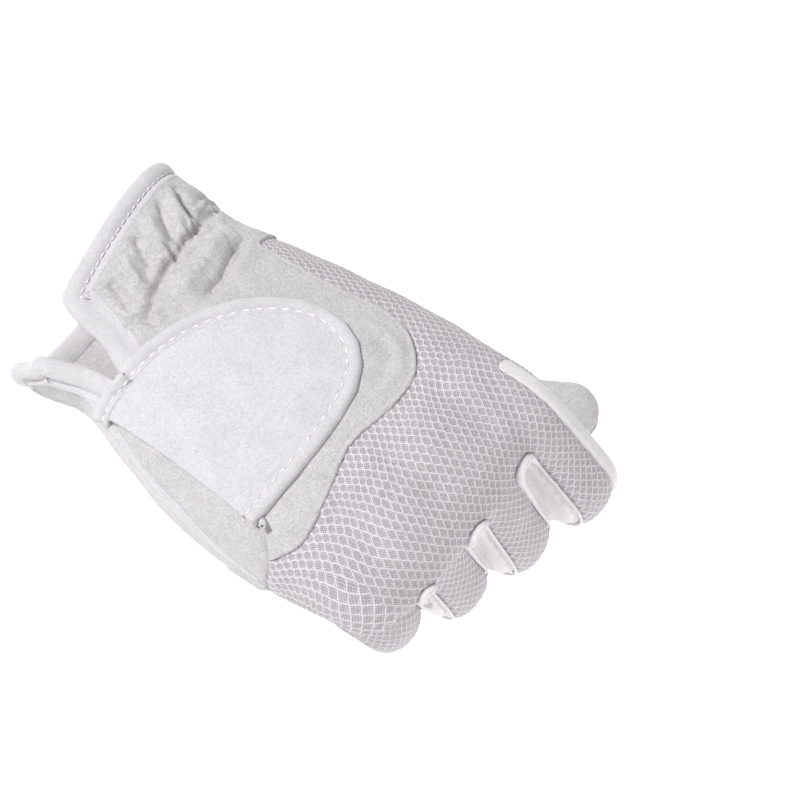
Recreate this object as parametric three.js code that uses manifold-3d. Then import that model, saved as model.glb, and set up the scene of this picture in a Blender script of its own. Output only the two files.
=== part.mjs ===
// A horse riding glove for the right hand, in the closed grip in which it is worn.
// Millimetres. The origin is the middle of the wrist opening. +Y runs to the knuckles, +Z is the
// back of the hand and -X the thumb side. Every panel is a wall of cloth round the open hand room.

import * as THREE from 'three';
import { mergeVertices } from 'three/addons/utils/BufferGeometryUtils.js';
import Module from 'manifold-3d';

const wasm = await Module();
wasm.setup();

// Driving dimensions
const wall = 1.4;                 // suede and knit panels
const seam = 0.3;                 // gap between two panels
const trimTolerance = 0.13;
const tapeStand = 0.7;            // how far the jersey tape stands out on each side of the wall
const gatherLine = 19;            // the elastic lies this far from the mouth
const gatherFolds = 11;
const gatherDepth = 1.1;
const bodySides = 33;
const fingerSides = 10;

// Rows of the hand, from the mouth of the cuff to the webs of the fingers
const handRows = [
  { y: -12, z: 0, tilt: 0, x: -1, half: 33, up: 23, down: 22 },
  { y: 0, z: 0, tilt: 0, x: 0, half: 33, up: 23, down: 22 },
  { y: 11, z: 0, tilt: 0, x: 0, half: 32, up: 22.2, down: 21 },
  { y: gatherLine, z: 0, tilt: 0, x: 0, half: 30.4, up: 20.6, down: 20 },
  { y: 27, z: 0, tilt: 0, x: 0.3, half: 32.2, up: 21.6, down: 20.4 },
  { y: 38, z: 0, tilt: 0, x: 1, half: 35.4, up: 21.8, down: 19.8 },
  { y: 52, z: 0, tilt: 0, x: 1.8, half: 38.8, up: 21.5, down: 18.7 },
  { y: 67, z: 0, tilt: 0, x: 2, half: 41.2, up: 20.8, down: 17.4 },
  { y: 81, z: 0, tilt: 0, x: 1.8, half: 42.2, up: 20.2, down: 16 },
  { y: 93, z: 0, tilt: -5, x: 1, half: 42, up: 19.2, down: 14.6 },
  { y: 101, z: -0.5, tilt: -18, x: 0.4, half: 41.4, up: 18, down: 13.4 },
  { y: 107, z: -3, tilt: -36, x: -0.2, half: 40.6, up: 16, down: 12.4 },
  { y: 110.5, z: -8, tilt: -56, x: -0.6, half: 39.6, up: 13, down: 11.4 },
];

// The fingers. Each has its first knuckle, a lean of its plane to the thumb side, its three bones,
// the bend at its three joints and its half widths at the joints and the tip.
const fingers = [
  { name: 'index', x: -30.5, y: 108.5, z: 4, lean: 4, bones: [43, 25, 23], bends: [58, 88, 48],
    halves: [9.9, 9.8, 9.1, 8.0] },
  { name: 'middle', x: -9.5, y: 110, z: 5, lean: 5.5, bones: [46, 28, 24], bends: [74, 82, 45],
    halves: [10.1, 9.9, 9.3, 8.2] },
  { name: 'ring', x: 11.5, y: 107, z: 3, lean: 8, bones: [43, 26, 24], bends: [76, 82, 45],
    halves: [9.6, 9.3, 8.8, 7.8] },
  { name: 'little', x: 31, y: 100.5, z: 0, lean: 11, bones: [33, 20, 21], bends: [68, 88, 48],
    halves: [9.1, 8.5, 8.0, 7.3] },
];

// The thumb lies under the curled first finger, with its pad turned up to it
const thumb = {
  points: [[-12, 36, -8], [-31, 62, -32], [-46, 91, -61], [-64, 114, -63]],
  halves: [15, 12.6, 10.4, 8.6],
  side: [0.75, 0.45, 0.1],
  pressed: 0.9,
};

// The slit of the cuff on the outer side of the back of the wrist
const slit = { angle: 34, mouthHalf: 10.2, endHalf: 1.2, length: 31, tape: 4.4 };

// Seams
const cuffTape = 4.2;
const ribbonHalf = 6.9;           // the side walls of a finger begin this far from its middle
const stripHalf = 1.4;            // half the width of the strip along the first finger
const stripRise = 6.8;            // the strip lies this far above the finger's middle line
const palmReach = 14;             // the palm's lining goes this far past a fingertip
const padRoomHalf = 17;
const padRoomHeight = 12.5;
const thumbSeam = -3;             // height of the long seam on the thumb side
const outerSeam = -7;             // and on the side of the little finger

// Outlines on the back of the hand, seen along Z, as x and y
const patchLine = [[-62, 33], [-26, 34], [-27, 54], [-29, 76], [-20, 87.5], [-8, 88.8], [6, 86.2],
  [20, 89], [33, 90.2], [40, 85]];
const outerLine = [[26, 28], [29.5, 40], [32, 62], [34, 78], [40, 85], [52, 88], [64, 88]];
const tabHeel = [[31, 26.5], [35, 78]];
const tabNose = [[22, 79.8], [2, 81.2], [-13, 77.5], [-20.5, 66], [-18.5, 53], [-9, 40.5], [6, 31], [20, 27]];
const tabBindingWidth = 4.6;
const tabBindingRise = 2.4;
const tabRise = 1.5;

const along = new THREE.Vector3(0, 1, 0);
const radians = THREE.MathUtils.degToRad;

// Joins and cuts
function solidOf(geometry) {
  const bare = geometry.clone();
  for (const name of Object.keys(bare.attributes)) {
    if (name !== 'position') bare.deleteAttribute(name);
  }
  const merged = mergeVertices(bare, 1e-4);
  return new wasm.Manifold(new wasm.Mesh({
    numProp: 3,
    vertProperties: Float32Array.from(merged.attributes.position.array),
    triVerts: Uint32Array.from(merged.index.array),
  }));
}

function geometryOf(solid) {
  const mesh = solid.getMesh();
  const geometry = new THREE.BufferGeometry();
  geometry.setAttribute('position', new THREE.BufferAttribute(mesh.vertProperties, 3));
  geometry.setIndex(new THREE.BufferAttribute(mesh.triVerts, 1));
  geometry.computeVertexNormals();
  return geometry;
}

const joined = (solids) => solids.reduce((sum, solid) => sum.add(solid));

// A closed skin over rings that have the same number of points, with a fan over each end
function loft(rings) {
  const count = rings[0].length;
  const points = rings.flat();
  const faces = [];
  for (let r = 0; r + 1 < rings.length; r += 1) {
    for (let i = 0; i < count; i += 1) {
      const a = r * count + i;
      const b = r * count + (i + 1) % count;
      faces.push(a, b, b + count, a, b + count, a + count);
    }
  }
  const last = (rings.length - 1) * count;
  const middle = (ring) => ring.reduce((sum, p) => sum.clone().add(p)).multiplyScalar(1 / count);
  points.push(middle(rings[0]), middle(rings[rings.length - 1]));
  for (let i = 0; i < count; i += 1) {
    const next = (i + 1) % count;
    faces.push(points.length - 2, next, i, points.length - 1, last + i, last + next);
  }
  const volume = faces.reduce((sum, _, k) => (k % 3 ? sum
    : sum + points[faces[k]].dot(points[faces[k + 1]].clone().cross(points[faces[k + 2]]))), 0);
  if (volume < 0) faces.reverse();
  const geometry = new THREE.BufferGeometry();
  geometry.setAttribute('position', new THREE.Float32BufferAttribute(points.flatMap((p) => p.toArray()), 3));
  geometry.setIndex(faces);
  return solidOf(geometry);
}

// A rounded section: a superellipse with its own height above and below
function section(sides, half, top, bottom, fullness = 2.3) {
  const power = 2 / fullness;
  return Array.from({ length: sides }, (_, i) => {
    const angle = 2 * Math.PI * i / sides;
    const c = Math.cos(angle);
    const s = Math.sin(angle);
    return {
      across: half * Math.sign(c) * Math.abs(c) ** power,
      rise: (s > 0 ? top : bottom) * Math.sign(s) * Math.abs(s) ** power,
      angle,
    };
  });
}

// How deep the gathers are at a distance from the mouth
const gather = (y) => gatherDepth * Math.max(0, 1 - Math.abs(y - 21) / 21);

// The hand as a solid, grown by a wall or a gap; folded follows each gather, covered spans them
function handSolid(grow, folded = true) {
  return loft(handRows.map((row) => {
    const tilt = radians(-row.tilt);
    const reach = row === handRows[handRows.length - 1] ? grow : 0;
    const fold = gather(row.y);
    return section(bodySides, row.half + grow, row.up + grow, row.down + grow).map((p) => {
      const wave = folded ? fold * Math.cos(gatherFolds * p.angle) : fold;
      const size = 1 + wave / Math.hypot(p.across, p.rise);
      const rise = p.rise * size;
      return new THREE.Vector3(
        row.x + p.across * size,
        row.y + rise * Math.sin(tilt) + reach * Math.cos(tilt),
        row.z + rise * Math.cos(tilt) - reach * Math.sin(tilt),
      );
    });
  }));
}

// The middle line of a finger: its bones, with an arc at each joint
function roundedLine(points, radii, steps) {
  const line = [{ point: points[0], bone: 0 }];
  for (let k = 1; k + 1 < points.length; k += 1) {
    const before = points[k].clone().sub(points[k - 1]).normalize();
    const after = points[k + 1].clone().sub(points[k]).normalize();
    const bend = before.angleTo(after);
    const cut = radii[k - 1] * Math.tan(bend / 2);
    const start = points[k].clone().addScaledVector(before, -cut);
    const inward = after.clone().sub(before).normalize();
    const centre = points[k].clone().addScaledVector(inward, radii[k - 1] / Math.cos(bend / 2));
    const axis = before.clone().cross(after).normalize();
    for (let s = 0; s <= steps[k - 1]; s += 1) {
      const turn = bend * s / steps[k - 1];
      const spoke = start.clone().sub(centre).applyAxisAngle(axis, turn);
      line.push({ point: centre.clone().add(spoke), bone: k - 0.5 + s / steps[k - 1] });
    }
  }
  line.push({ point: points[points.length - 1], bone: points.length - 1 });
  return line;
}

// A tube of cloth along a middle line, with a round tip
function tube(line, halves, side, grow, pressed = 1) {
  const rings = [];
  const halfAt = (bone) => {
    const k = Math.min(Math.floor(bone), halves.length - 2);
    return THREE.MathUtils.lerp(halves[k], halves[k + 1], bone - k) + grow;
  };
  const ringAt = (point, ahead, half, scale) => {
    const across = side.clone().addScaledVector(ahead, -side.dot(ahead)).normalize();
    const rise = across.clone().cross(ahead);
    return section(fingerSides, half * scale, half * pressed * scale, half * pressed * scale).map((p) =>
      point.clone().addScaledVector(across, p.across).addScaledVector(rise, p.rise));
  };
  for (let i = 0; i + 1 < line.length; i += 1) {
    const back = line[Math.max(i - 1, 0)].point;
    const ahead = line[i + 1].point.clone().sub(back).normalize();
    rings.push(ringAt(line[i].point, ahead, halfAt(line[i].bone), 1));
  }
  const end = line[line.length - 1];
  const ahead = end.point.clone().sub(line[line.length - 2].point).normalize();
  const half = halfAt(end.bone);
  for (const degrees of [0, 38, 68]) {
    const turn = radians(degrees);
    const point = end.point.clone().addScaledVector(ahead, half * (Math.sin(turn) - 1) + grow);
    rings.push(ringAt(point, ahead, half, Math.cos(turn)));
  }
  return loft(rings);
}

// A finger's own frame: its plane leans to the thumb side as it drops
function fingerFrame(finger) {
  const lean = radians(finger.lean);
  return {
    root: new THREE.Vector3(finger.x, finger.y, finger.z),
    rise: new THREE.Vector3(Math.sin(lean), 0, Math.cos(lean)),
    side: new THREE.Vector3(Math.cos(lean), 0, -Math.sin(lean)),
  };
}

function place(frame, ahead, rise, across) {
  return frame.root.clone()
    .addScaledVector(along, ahead)
    .addScaledVector(frame.rise, rise)
    .addScaledVector(frame.side, across);
}

// The joints of a finger in its own plane, as distances ahead of its first knuckle and above it
function fingerJoints(finger) {
  const joints = [[-24, -1], [0, 0]];
  let turn = 0;
  finger.bones.forEach((bone, k) => {
    turn += radians(finger.bends[k]);
    const [ahead, rise] = joints[joints.length - 1];
    joints.push([ahead + bone * Math.cos(turn), rise - bone * Math.sin(turn)]);
  });
  return joints;
}

const knuckleRadii = [13, 11, 11];
const knuckleSteps = [3, 4, 2];

// The middle line in the finger's plane, and the same line in space
const flatLine = (finger) => roundedLine(
  fingerJoints(finger).map(([ahead, rise]) => new THREE.Vector3(ahead, rise, 0)), knuckleRadii, knuckleSteps);

const fingerLine = (finger) => flatLine(finger).map(({ point, bone }) => (
  { point: place(fingerFrame(finger), point.x, point.y, 0), bone }));

function fingerSolid(finger, grow) {
  const halves = [finger.halves[0] - 1, ...finger.halves];
  return tube(fingerLine(finger), halves, fingerFrame(finger).side, grow, 0.97);
}

const thumbPoints = thumb.points.map((p) => new THREE.Vector3(...p));
const thumbLine = roundedLine(thumbPoints, [30, 14], [3, 4]);
const thumbSolid = (grow) => tube(thumbLine, thumb.halves, new THREE.Vector3(...thumb.side), grow, thumb.pressed);

const gloveSolid = (grow) => joined([
  handSolid(grow), thumbSolid(grow), ...fingers.map((finger) => fingerSolid(finger, grow))]);

// A closed prism over an outline. It stands on the XY plane, from one height to another.
function prism(outline, low, high) {
  const shape = new THREE.Shape(outline.map(([x, y]) => new THREE.Vector2(x, y)));
  const geometry = new THREE.ExtrudeGeometry(shape, { depth: high - low, bevelEnabled: false });
  return solidOf(geometry.translate(0, 0, low));
}

// A smooth curve through a few points of an outline
function curved(points, steps) {
  const curve = new THREE.CatmullRomCurve3(points.map(([x, y]) => new THREE.Vector3(x, y, 0)));
  return curve.getPoints(steps).map((p) => [p.x, p.y]);
}

// An open line moved to one side by a distance
function shifted(line, distance) {
  return line.map(([x, y], i) => {
    const [ax, ay] = line[Math.max(i - 1, 0)];
    const [bx, by] = line[Math.min(i + 1, line.length - 1)];
    const length = Math.hypot(bx - ax, by - ay);
    return [x - (by - ay) / length * distance, y + (bx - ax) / length * distance];
  });
}

// A strip as wide as a gap, on both sides of a line
const strip = (line, width) => [...shifted(line, width / 2), ...shifted(line, -width / 2).reverse()];

// The same prism, laid in the plane of a finger and spread to both sides of it
function fingerPrism(finger, outline, from, to) {
  const frame = fingerFrame(finger);
  const axes = new THREE.Matrix4().makeBasis(along, frame.rise, frame.side);
  axes.setPosition(frame.root);
  const shape = new THREE.Shape(outline.map(([ahead, rise]) => new THREE.Vector2(ahead, rise)));
  const geometry = new THREE.ExtrudeGeometry(shape, { depth: to - from, bevelEnabled: false });
  return solidOf(geometry.translate(0, 0, from).applyMatrix4(axes));
}

// Cuts
// The mouth of the cuff: straight on the palm side, and a little longer at the thumb on the back
const mouthCut = joined([
  prism([[-70, -40], [70, -40], [70, -1.5], [-70, -1.5]], -60, 60),
  prism([[-70, -40], [22, -40], [22, 5], [-34, -2], [-70, -2]], 2, 60),
]);

// The slit is a wedge that looks out from the middle of the hand at its own angle
function slitCut(grow) {
  const wide = slit.mouthHalf + grow;
  const turn = new THREE.Matrix4().makeRotationY(radians(90 - slit.angle));
  const narrow = slit.endHalf + grow;
  const end = slit.length + grow;
  const wedge = [[-wide, -60], [wide, -60], [wide, -3], [narrow, end], [-narrow, end], [-wide, -3]];
  const shape = new THREE.Shape(wedge.map(([x, y]) => new THREE.Vector2(x, y)));
  const geometry = new THREE.ExtrudeGeometry(shape, { depth: 60, bevelEnabled: false });
  return solidOf(geometry.applyMatrix4(turn));
}

// The band that the tape covers, along the mouth and both sides of the slit
function tapeBand(grow) {
  const reach = cuffTape + grow;
  const mouth = joined([
    prism([[-70, -40], [70, -40], [70, reach - 1.5], [-70, reach - 1.5]], -60, 60),
    prism([[-70, -40], [22, -40], [22, 5 + reach], [-34, reach - 2], [-70, reach - 2]], 2, 60),
  ]);
  return mouth.add(slitCut(slit.tape + grow));
}

// The room of the side wall between two fingers, from the web to the tips, as y and z
const wallOutline = [[99, -13], [127, 6], [170, 6], [170, -90], [66, -90], [66, -27], [92, -26]];
function sideWallRoom(left, right, grow) {
  const flat = (finger, across) => {
    const level = { ...fingerFrame(finger), root: new THREE.Vector3(finger.x, 0, 0) };
    return wallOutline.map(([y, z]) => place(level, y - grow * 0.55, z + grow * 0.83, across));
  };
  return loft([flat(left, ribbonHalf - grow), flat(right, grow - ribbonHalf)]);
}

// The room inside the curl of a finger, which the palm lines
function curlRoom(finger, from, to, grow) {
  const line = flatLine(finger).map(({ point }) => [point.x, point.y]);
  const [tipX, tipY] = line[line.length - 1];
  const [backX, backY] = line[line.length - 2];
  const reach = palmReach / Math.hypot(tipX - backX, tipY - backY);
  const past = [tipX + (tipX - backX) * reach, tipY + (tipY - backY) * reach];
  return fingerPrism(finger, shifted([...line, past], grow), from, to);
}

// The palm's half of the glove: below the side seams, and inside the curl of every finger
function palmRoom(grow) {
  const side = (seamHeight, thenarEnd, from, to) => {
    const outline = [[-40, seamHeight + grow], [88, seamHeight + grow], [101, -9 + grow],
      [99, -15], [92, -26], [thenarEnd, -26], [thenarEnd, -70], [-40, -70]];
    const shape = new THREE.Shape(outline.map(([y, z]) => new THREE.Vector2(y, z)));
    const geometry = new THREE.ExtrudeGeometry(shape, { depth: to - from, bevelEnabled: false });
    const axes = new THREE.Matrix4().makeBasis(along, new THREE.Vector3(0, 0, 1), new THREE.Vector3(1, 0, 0));
    return solidOf(geometry.translate(0, 0, from).applyMatrix4(axes));
  };
  const curls = fingers.map((finger, k) => curlRoom(
    finger, k === 0 ? -16 : -ribbonHalf - 1, k === fingers.length - 1 ? 16 : ribbonHalf + 1, grow));
  return joined([side(thumbSeam, 73, -80, 1), side(outerSeam, 60, 0, 80), ...curls]);
}

// The room of the thin strip down the thumb side of the first finger
function stripRoom(grow) {
  const line = flatLine(fingers[0]).map(({ point }) => [point.x, point.y]).slice(1);
  return fingerPrism(fingers[0], strip(shifted(line, stripRise), 2 * (stripHalf + grow)), -18, -3);
}

// The thumb past its seam, and the half of that room on the side of its pad
const thumbSeamAt = 3;
function thumbRoom(grow) {
  const line = thumbLine.slice(thumbSeamAt);
  const ahead = line[1].point.clone().sub(line[0].point).normalize();
  const first = { point: line[0].point.clone().addScaledVector(ahead, -grow), bone: line[0].bone };
  return tube([first, ...line.slice(1)], thumb.halves, new THREE.Vector3(...thumb.side), 1, thumb.pressed);
}

function padRoom(grow) {
  const side = new THREE.Vector3(...thumb.side);
  const line = thumbLine.slice(thumbSeamAt - 1);
  const last = line[line.length - 1].point;
  const beyond = last.clone().sub(line[line.length - 2].point).normalize().multiplyScalar(6).add(last);
  const points = [...line.map(({ point }) => point), beyond];
  return loft(points.map((point, i) => {
    const ahead = points[Math.min(i + 1, points.length - 1)].clone().sub(points[Math.max(i - 1, 0)]).normalize();
    const across = side.clone().addScaledVector(ahead, -side.dot(ahead)).normalize();
    const rise = across.clone().cross(ahead);
    const corners = [[-padRoomHalf, grow], [padRoomHalf, grow], [padRoomHalf, padRoomHeight],
      [-padRoomHalf, padRoomHeight]];
    return corners.map(([a, r]) =>
      point.clone().addScaledVector(across, a).addScaledVector(rise, r));
  }));
}

// The suede of the wrist, up to its rounded patch, and the suede on the outer side of the hand
const patchOutline = curved(patchLine.slice(1), 36);
const outerOutline = curved(outerLine, 16);
function wristRoom(grow) {
  const edge = shifted(patchOutline, grow);
  return prism([[-70, patchLine[0][1] + grow], ...edge, [44, 60], [44, -40], [-70, -40]], -30, 60);
}
function outerRoom(grow) {
  const edge = shifted(outerOutline, grow);
  return prism([[24 - grow, -40], [24 - grow, 20], ...edge, [70, -40]], -30, 60);
}

// The tab: a flat heel on the outer side and a round nose over the back of the hand
const tabOutline = [...tabHeel, ...curved(tabNose, 30)];
const leftOf = ([ax, ay], [bx, by]) => {
  const length = Math.hypot(bx - ax, by - ay);
  return [(ay - by) / length, (bx - ax) / length];
};
function inset(outline, distance) {
  const count = outline.length;
  return outline.map((point, i) => {
    const [ax, ay] = leftOf(outline[(i + count - 1) % count], point);
    const [bx, by] = leftOf(point, outline[(i + 1) % count]);
    const size = distance / (1 + ax * bx + ay * by);
    return [point[0] + (ax + bx) * size, point[1] + (ay + by) * size];
  });
}

// The binding runs round the nose alone; the heel is bare, so this room is open there
const noseLine = [tabHeel[1], ...curved(tabNose, 30), tabHeel[0]];
const pastHeel = 60;
const tabRoom = (distance) => {
  const line = shifted(noseLine, distance);
  return prism([...line, [pastHeel, line[line.length - 1][1]], [pastHeel, line[0][1]]], 0, 60);
};

// A layer that lies over the back of the hand between two heights above the gathers
const layer = (low, high, outline) => handSolid(high, false)
  .subtract(handSolid(low, false))
  .intersect(prism(outline, 0, 60));

// A cut can leave crumbs beside a piece; the piece is the largest body
const clean = (solid) => solid.simplify(trimTolerance);
const trimmed = (solid) => clean(solid).decompose()
  .reduce((best, body) => (body.volume() > best.volume() ? body : best));

// The pieces
const wholeShell = clean(gloveSolid(0)).subtract(clean(gloveSolid(-wall))).subtract(mouthCut).subtract(slitCut(0));
const shell = wholeShell.subtract(tapeBand(seam)).subtract(thumbRoom(seam));
const thumbShell = wholeShell.intersect(thumbRoom(0));
const half = seam / 2;
const walls = [0, 1, 2].map((k) => sideWallRoom(fingers[k], fingers[k + 1], 0));
const wallCuts = joined([0, 1, 2].map((k) => sideWallRoom(fingers[k], fingers[k + 1], seam)));
const panels = shell.subtract(wallCuts).subtract(stripRoom(seam));
const back = panels.subtract(palmRoom(half));
const tape = gloveSolid(tapeStand).subtract(gloveSolid(-wall - tapeStand))
  .subtract(mouthCut).subtract(slitCut(0)).intersect(tapeBand(0))
  .subtract(layer(0, 6, inset(tabOutline, -seam)));

// Finishes
const knit = new THREE.MeshStandardMaterial({ color: 0xcfced6, roughness: 0.85, metalness: 0 });
const suede = new THREE.MeshStandardMaterial({ color: 0xe6e4de, roughness: 0.95, metalness: 0 });
const stretchSuede = new THREE.MeshStandardMaterial({ color: 0xeceae6, roughness: 0.9, metalness: 0 });
const jersey = new THREE.MeshStandardMaterial({ color: 0xe5e4ed, roughness: 0.8, metalness: 0 });

const pieces = [
  { name: 'back_panel', material: knit,
    solid: back.subtract(wristRoom(half)).subtract(outerRoom(half)) },
  { name: 'wrist_patch', material: suede,
    solid: back.intersect(wristRoom(-half)).subtract(outerRoom(half)) },
  { name: 'outer_side_panel', material: suede, solid: back.intersect(outerRoom(-half)) },
  { name: 'palm_panel', material: suede, solid: panels.intersect(palmRoom(-half)) },
  { name: 'thumb_panel', material: suede, solid: thumbShell.intersect(padRoom(half)) },
  { name: 'thumb_back', material: knit, solid: thumbShell.subtract(padRoom(-half)) },
  { name: 'fourchette_index_middle', material: stretchSuede, solid: shell.intersect(walls[0]) },
  { name: 'fourchette_middle_ring', material: stretchSuede, solid: shell.intersect(walls[1]) },
  { name: 'fourchette_ring_little', material: stretchSuede, solid: shell.intersect(walls[2]) },
  { name: 'index_side_strip', material: stretchSuede, solid: shell.intersect(stripRoom(0)) },
  { name: 'cuff_binding', material: jersey, solid: tape },
  { name: 'closure_tab', material: suede,
    solid: layer(seam, seam + tabRise, tabOutline).intersect(tabRoom(tabBindingWidth + seam)) },
  { name: 'tab_binding', material: jersey,
    solid: layer(seam, seam + tabBindingRise, tabOutline).subtract(tabRoom(tabBindingWidth)) },
];

const glove = new THREE.Group();
for (const { name, material, solid } of pieces) {
  const mesh = new THREE.Mesh(geometryOf(trimmed(solid)), material);
  mesh.name = name;
  glove.add(mesh);
}

export default glove;
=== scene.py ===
# %% [markdown]
# # A white horse riding glove
# The glove has the shape of a closed grip, as it has when it is worn. It is sewn from a knitted
# back, a suede palm and wrist, and stretch suede between the fingers. The cuff and the closing tab
# are bound with soft jersey tape.
# Each panel could be modelled for itself, but then its edges would never quite meet the next one.
# So the lesson first makes one smooth form of the whole glove from a few measured sections. The form
# is then cut along the seams, and each panel gets its thickness, its edge and its finish.

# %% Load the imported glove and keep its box
import math

import bmesh
import bpy
import numpy as np
from mathutils import Matrix, Vector, noise
from mathutils.bvhtree import BVHTree
from mathutils.geometry import intersect_point_line
from mathutils.kdtree import KDTree


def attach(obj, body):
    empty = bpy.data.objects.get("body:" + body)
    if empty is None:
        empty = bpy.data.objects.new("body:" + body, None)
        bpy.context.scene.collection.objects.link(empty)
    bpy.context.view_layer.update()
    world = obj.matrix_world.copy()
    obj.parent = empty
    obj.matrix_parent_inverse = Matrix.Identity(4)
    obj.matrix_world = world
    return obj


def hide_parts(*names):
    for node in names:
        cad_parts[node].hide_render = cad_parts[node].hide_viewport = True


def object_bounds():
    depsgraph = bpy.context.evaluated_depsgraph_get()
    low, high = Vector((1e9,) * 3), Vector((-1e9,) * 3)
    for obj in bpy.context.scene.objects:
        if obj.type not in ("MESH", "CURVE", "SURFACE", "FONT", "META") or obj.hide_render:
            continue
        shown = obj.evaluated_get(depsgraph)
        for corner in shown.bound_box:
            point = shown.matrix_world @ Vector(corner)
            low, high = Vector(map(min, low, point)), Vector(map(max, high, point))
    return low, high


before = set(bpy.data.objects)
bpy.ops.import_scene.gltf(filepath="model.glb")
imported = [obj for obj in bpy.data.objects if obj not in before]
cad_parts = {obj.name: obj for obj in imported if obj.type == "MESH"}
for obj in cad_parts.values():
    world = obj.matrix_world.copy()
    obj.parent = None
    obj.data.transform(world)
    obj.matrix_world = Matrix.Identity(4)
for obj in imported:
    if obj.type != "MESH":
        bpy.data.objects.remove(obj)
cad_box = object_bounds()
MM = 0.001
print("solids:", len(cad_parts), "box:", [[round(x / MM, 1) for x in corner] for corner in cad_box])

# %% [markdown]
# ## Camera
# The photograph looks down on the back of the hand, with the fingers to the lower right. The camera
# could be turned by hand until it fits; here its direction and its roll are two values, so that the
# same two directions also place the lights. A long lens keeps the depth of the curled fingers flat.

# %% Aim the camera at the back of the hand
LOOK_FROM = Vector((0.29, 0.24, 0.93)).normalized()
ROLL = math.radians(33.0)
MIDDLE = (78.2, -31.8)
VIEW_WIDTH = 205.1
DISTANCE = 1200.0
SENSOR = 36.0


def camera_axes():
    """The camera's right and up directions, from its direction and its roll about it."""
    along_y = (Vector((0, 1, 0)) - LOOK_FROM * LOOK_FROM.y).normalized()
    side = LOOK_FROM.cross(along_y)
    right = along_y * math.cos(ROLL) + side * math.sin(ROLL)
    up = side * math.cos(ROLL) - along_y * math.sin(ROLL)
    return right, up


right, up = camera_axes()
lens = bpy.data.cameras.new("camera")
lens.sensor_width = SENSOR
lens.lens = SENSOR * DISTANCE / VIEW_WIDTH
camera = bpy.data.objects.new("camera", lens)
bpy.context.scene.collection.objects.link(camera)
eye = (right * MIDDLE[0] + up * MIDDLE[1] + LOOK_FROM * DISTANCE) * MM
turn = Matrix((right, up, LOOK_FROM)).transposed().to_4x4()
camera.matrix_world = Matrix.Translation(eye) @ turn
bpy.context.scene.camera = camera
print("lens", round(lens.lens, 1), "mm")

# %% [markdown]
# ## The form of the glove
# A glove in use has the form of a hand: a flat body from the wrist to the knuckles, and a tube that
# bends at its joints for each finger. It could be sculpted, but measured sections are easier to
# check and to change. Each section is a circle that is pulled out to a fuller oval, and the sections
# are bridged.

# %% Sections of the hand, in millimetres
# y, z, tilt of the section, middle x, half width, height above and height below
HAND_ROWS = [
    (-12, 0, 0, -1, 33, 23, 22), (0, 0, 0, 0, 33, 23, 22), (11, 0, 0, 0, 32, 22.2, 21),
    (19, 0, 0, 0, 30.4, 20.6, 20), (27, 0, 0, 0.3, 32.2, 21.6, 20.4), (38, 0, 0, 1, 35.4, 21.8, 19.8),
    (52, 0, 0, 1.8, 38.8, 21.5, 18.7), (67, 0, 0, 2, 41.2, 20.8, 17.4), (81, 0, 0, 1.8, 42.2, 20.2, 16),
    (93, 0, 5, 1, 42, 19.2, 14.6), (101, -0.5, 18, 0.4, 41.4, 18, 13.4),
    (107, -3, 36, -0.2, 40.6, 16, 12.4), (110.5, -8, 56, -0.6, 39.6, 13, 11.4),
]
ROUND = 64
FULLNESS = 2.3


def smooth_rows(rows, steps):
    """More rows between the measured ones, on a smooth curve through them."""
    table = np.array(rows, dtype=float)
    table = np.vstack([table[0], table, table[-1]])
    out = []
    for k in range(1, len(table) - 2):
        a, b, c, d = table[k - 1:k + 3]
        for t in np.arange(steps) / steps:
            out.append(0.5 * (2 * b + (c - a) * t + (2 * a - 5 * b + 4 * c - d) * t ** 2
                              + (3 * b - a - 3 * c + d) * t ** 3))
    out.append(table[-2])
    return out


def oval_ring(bm, middle, across, rise, half, top, bottom, sides=ROUND):
    """A ring of a form: a circle pulled out to a full oval, laid across its own two directions."""
    ring = bmesh.ops.create_circle(bm, segments=sides, radius=1.0)["verts"]
    for v in ring:
        c, s = v.co.x, v.co.y
        a = half * math.copysign(abs(c) ** (2 / FULLNESS), c)
        r = (top if s > 0 else bottom) * math.copysign(abs(s) ** (2 / FULLNESS), s)
        v.co = middle + across * a + rise * r
    return ring


def bridge(bm, rings, closed=False):
    """Join rings into a skin, and close its two ends."""
    loops = [list(dict.fromkeys(e for v in ring for e in v.link_edges)) for ring in rings]
    pairs = list(zip(loops, loops[1:])) + ([(loops[-1], loops[0])] if closed else [])
    for a, b in pairs:
        bmesh.ops.bridge_loops(bm, edges=a + b)
    if not closed:
        bmesh.ops.holes_fill(bm, edges=loops[0] + loops[-1], sides=0)


form = bmesh.new()
hand = smooth_rows(HAND_ROWS, 4)
rings = []
for y, z, tilt, x, half, above, below in hand:
    lean = math.radians(tilt)
    rings.append(oval_ring(form, Vector((x, y, z)), Vector((1, 0, 0)),
                           Vector((0, math.sin(lean), math.cos(lean))), half, above, below))
bridge(form, rings)
print("hand:", len(rings), "sections")

# %% [markdown]
# Each finger has its first knuckle, the lean of the plane it curls in, the three lengths between its
# joints, the bend at each joint, and its half widths. A curve with free handles could bend a tube
# too, but bends in degrees are what a closed grip is measured by. The thumb crosses under the first
# finger.

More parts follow.
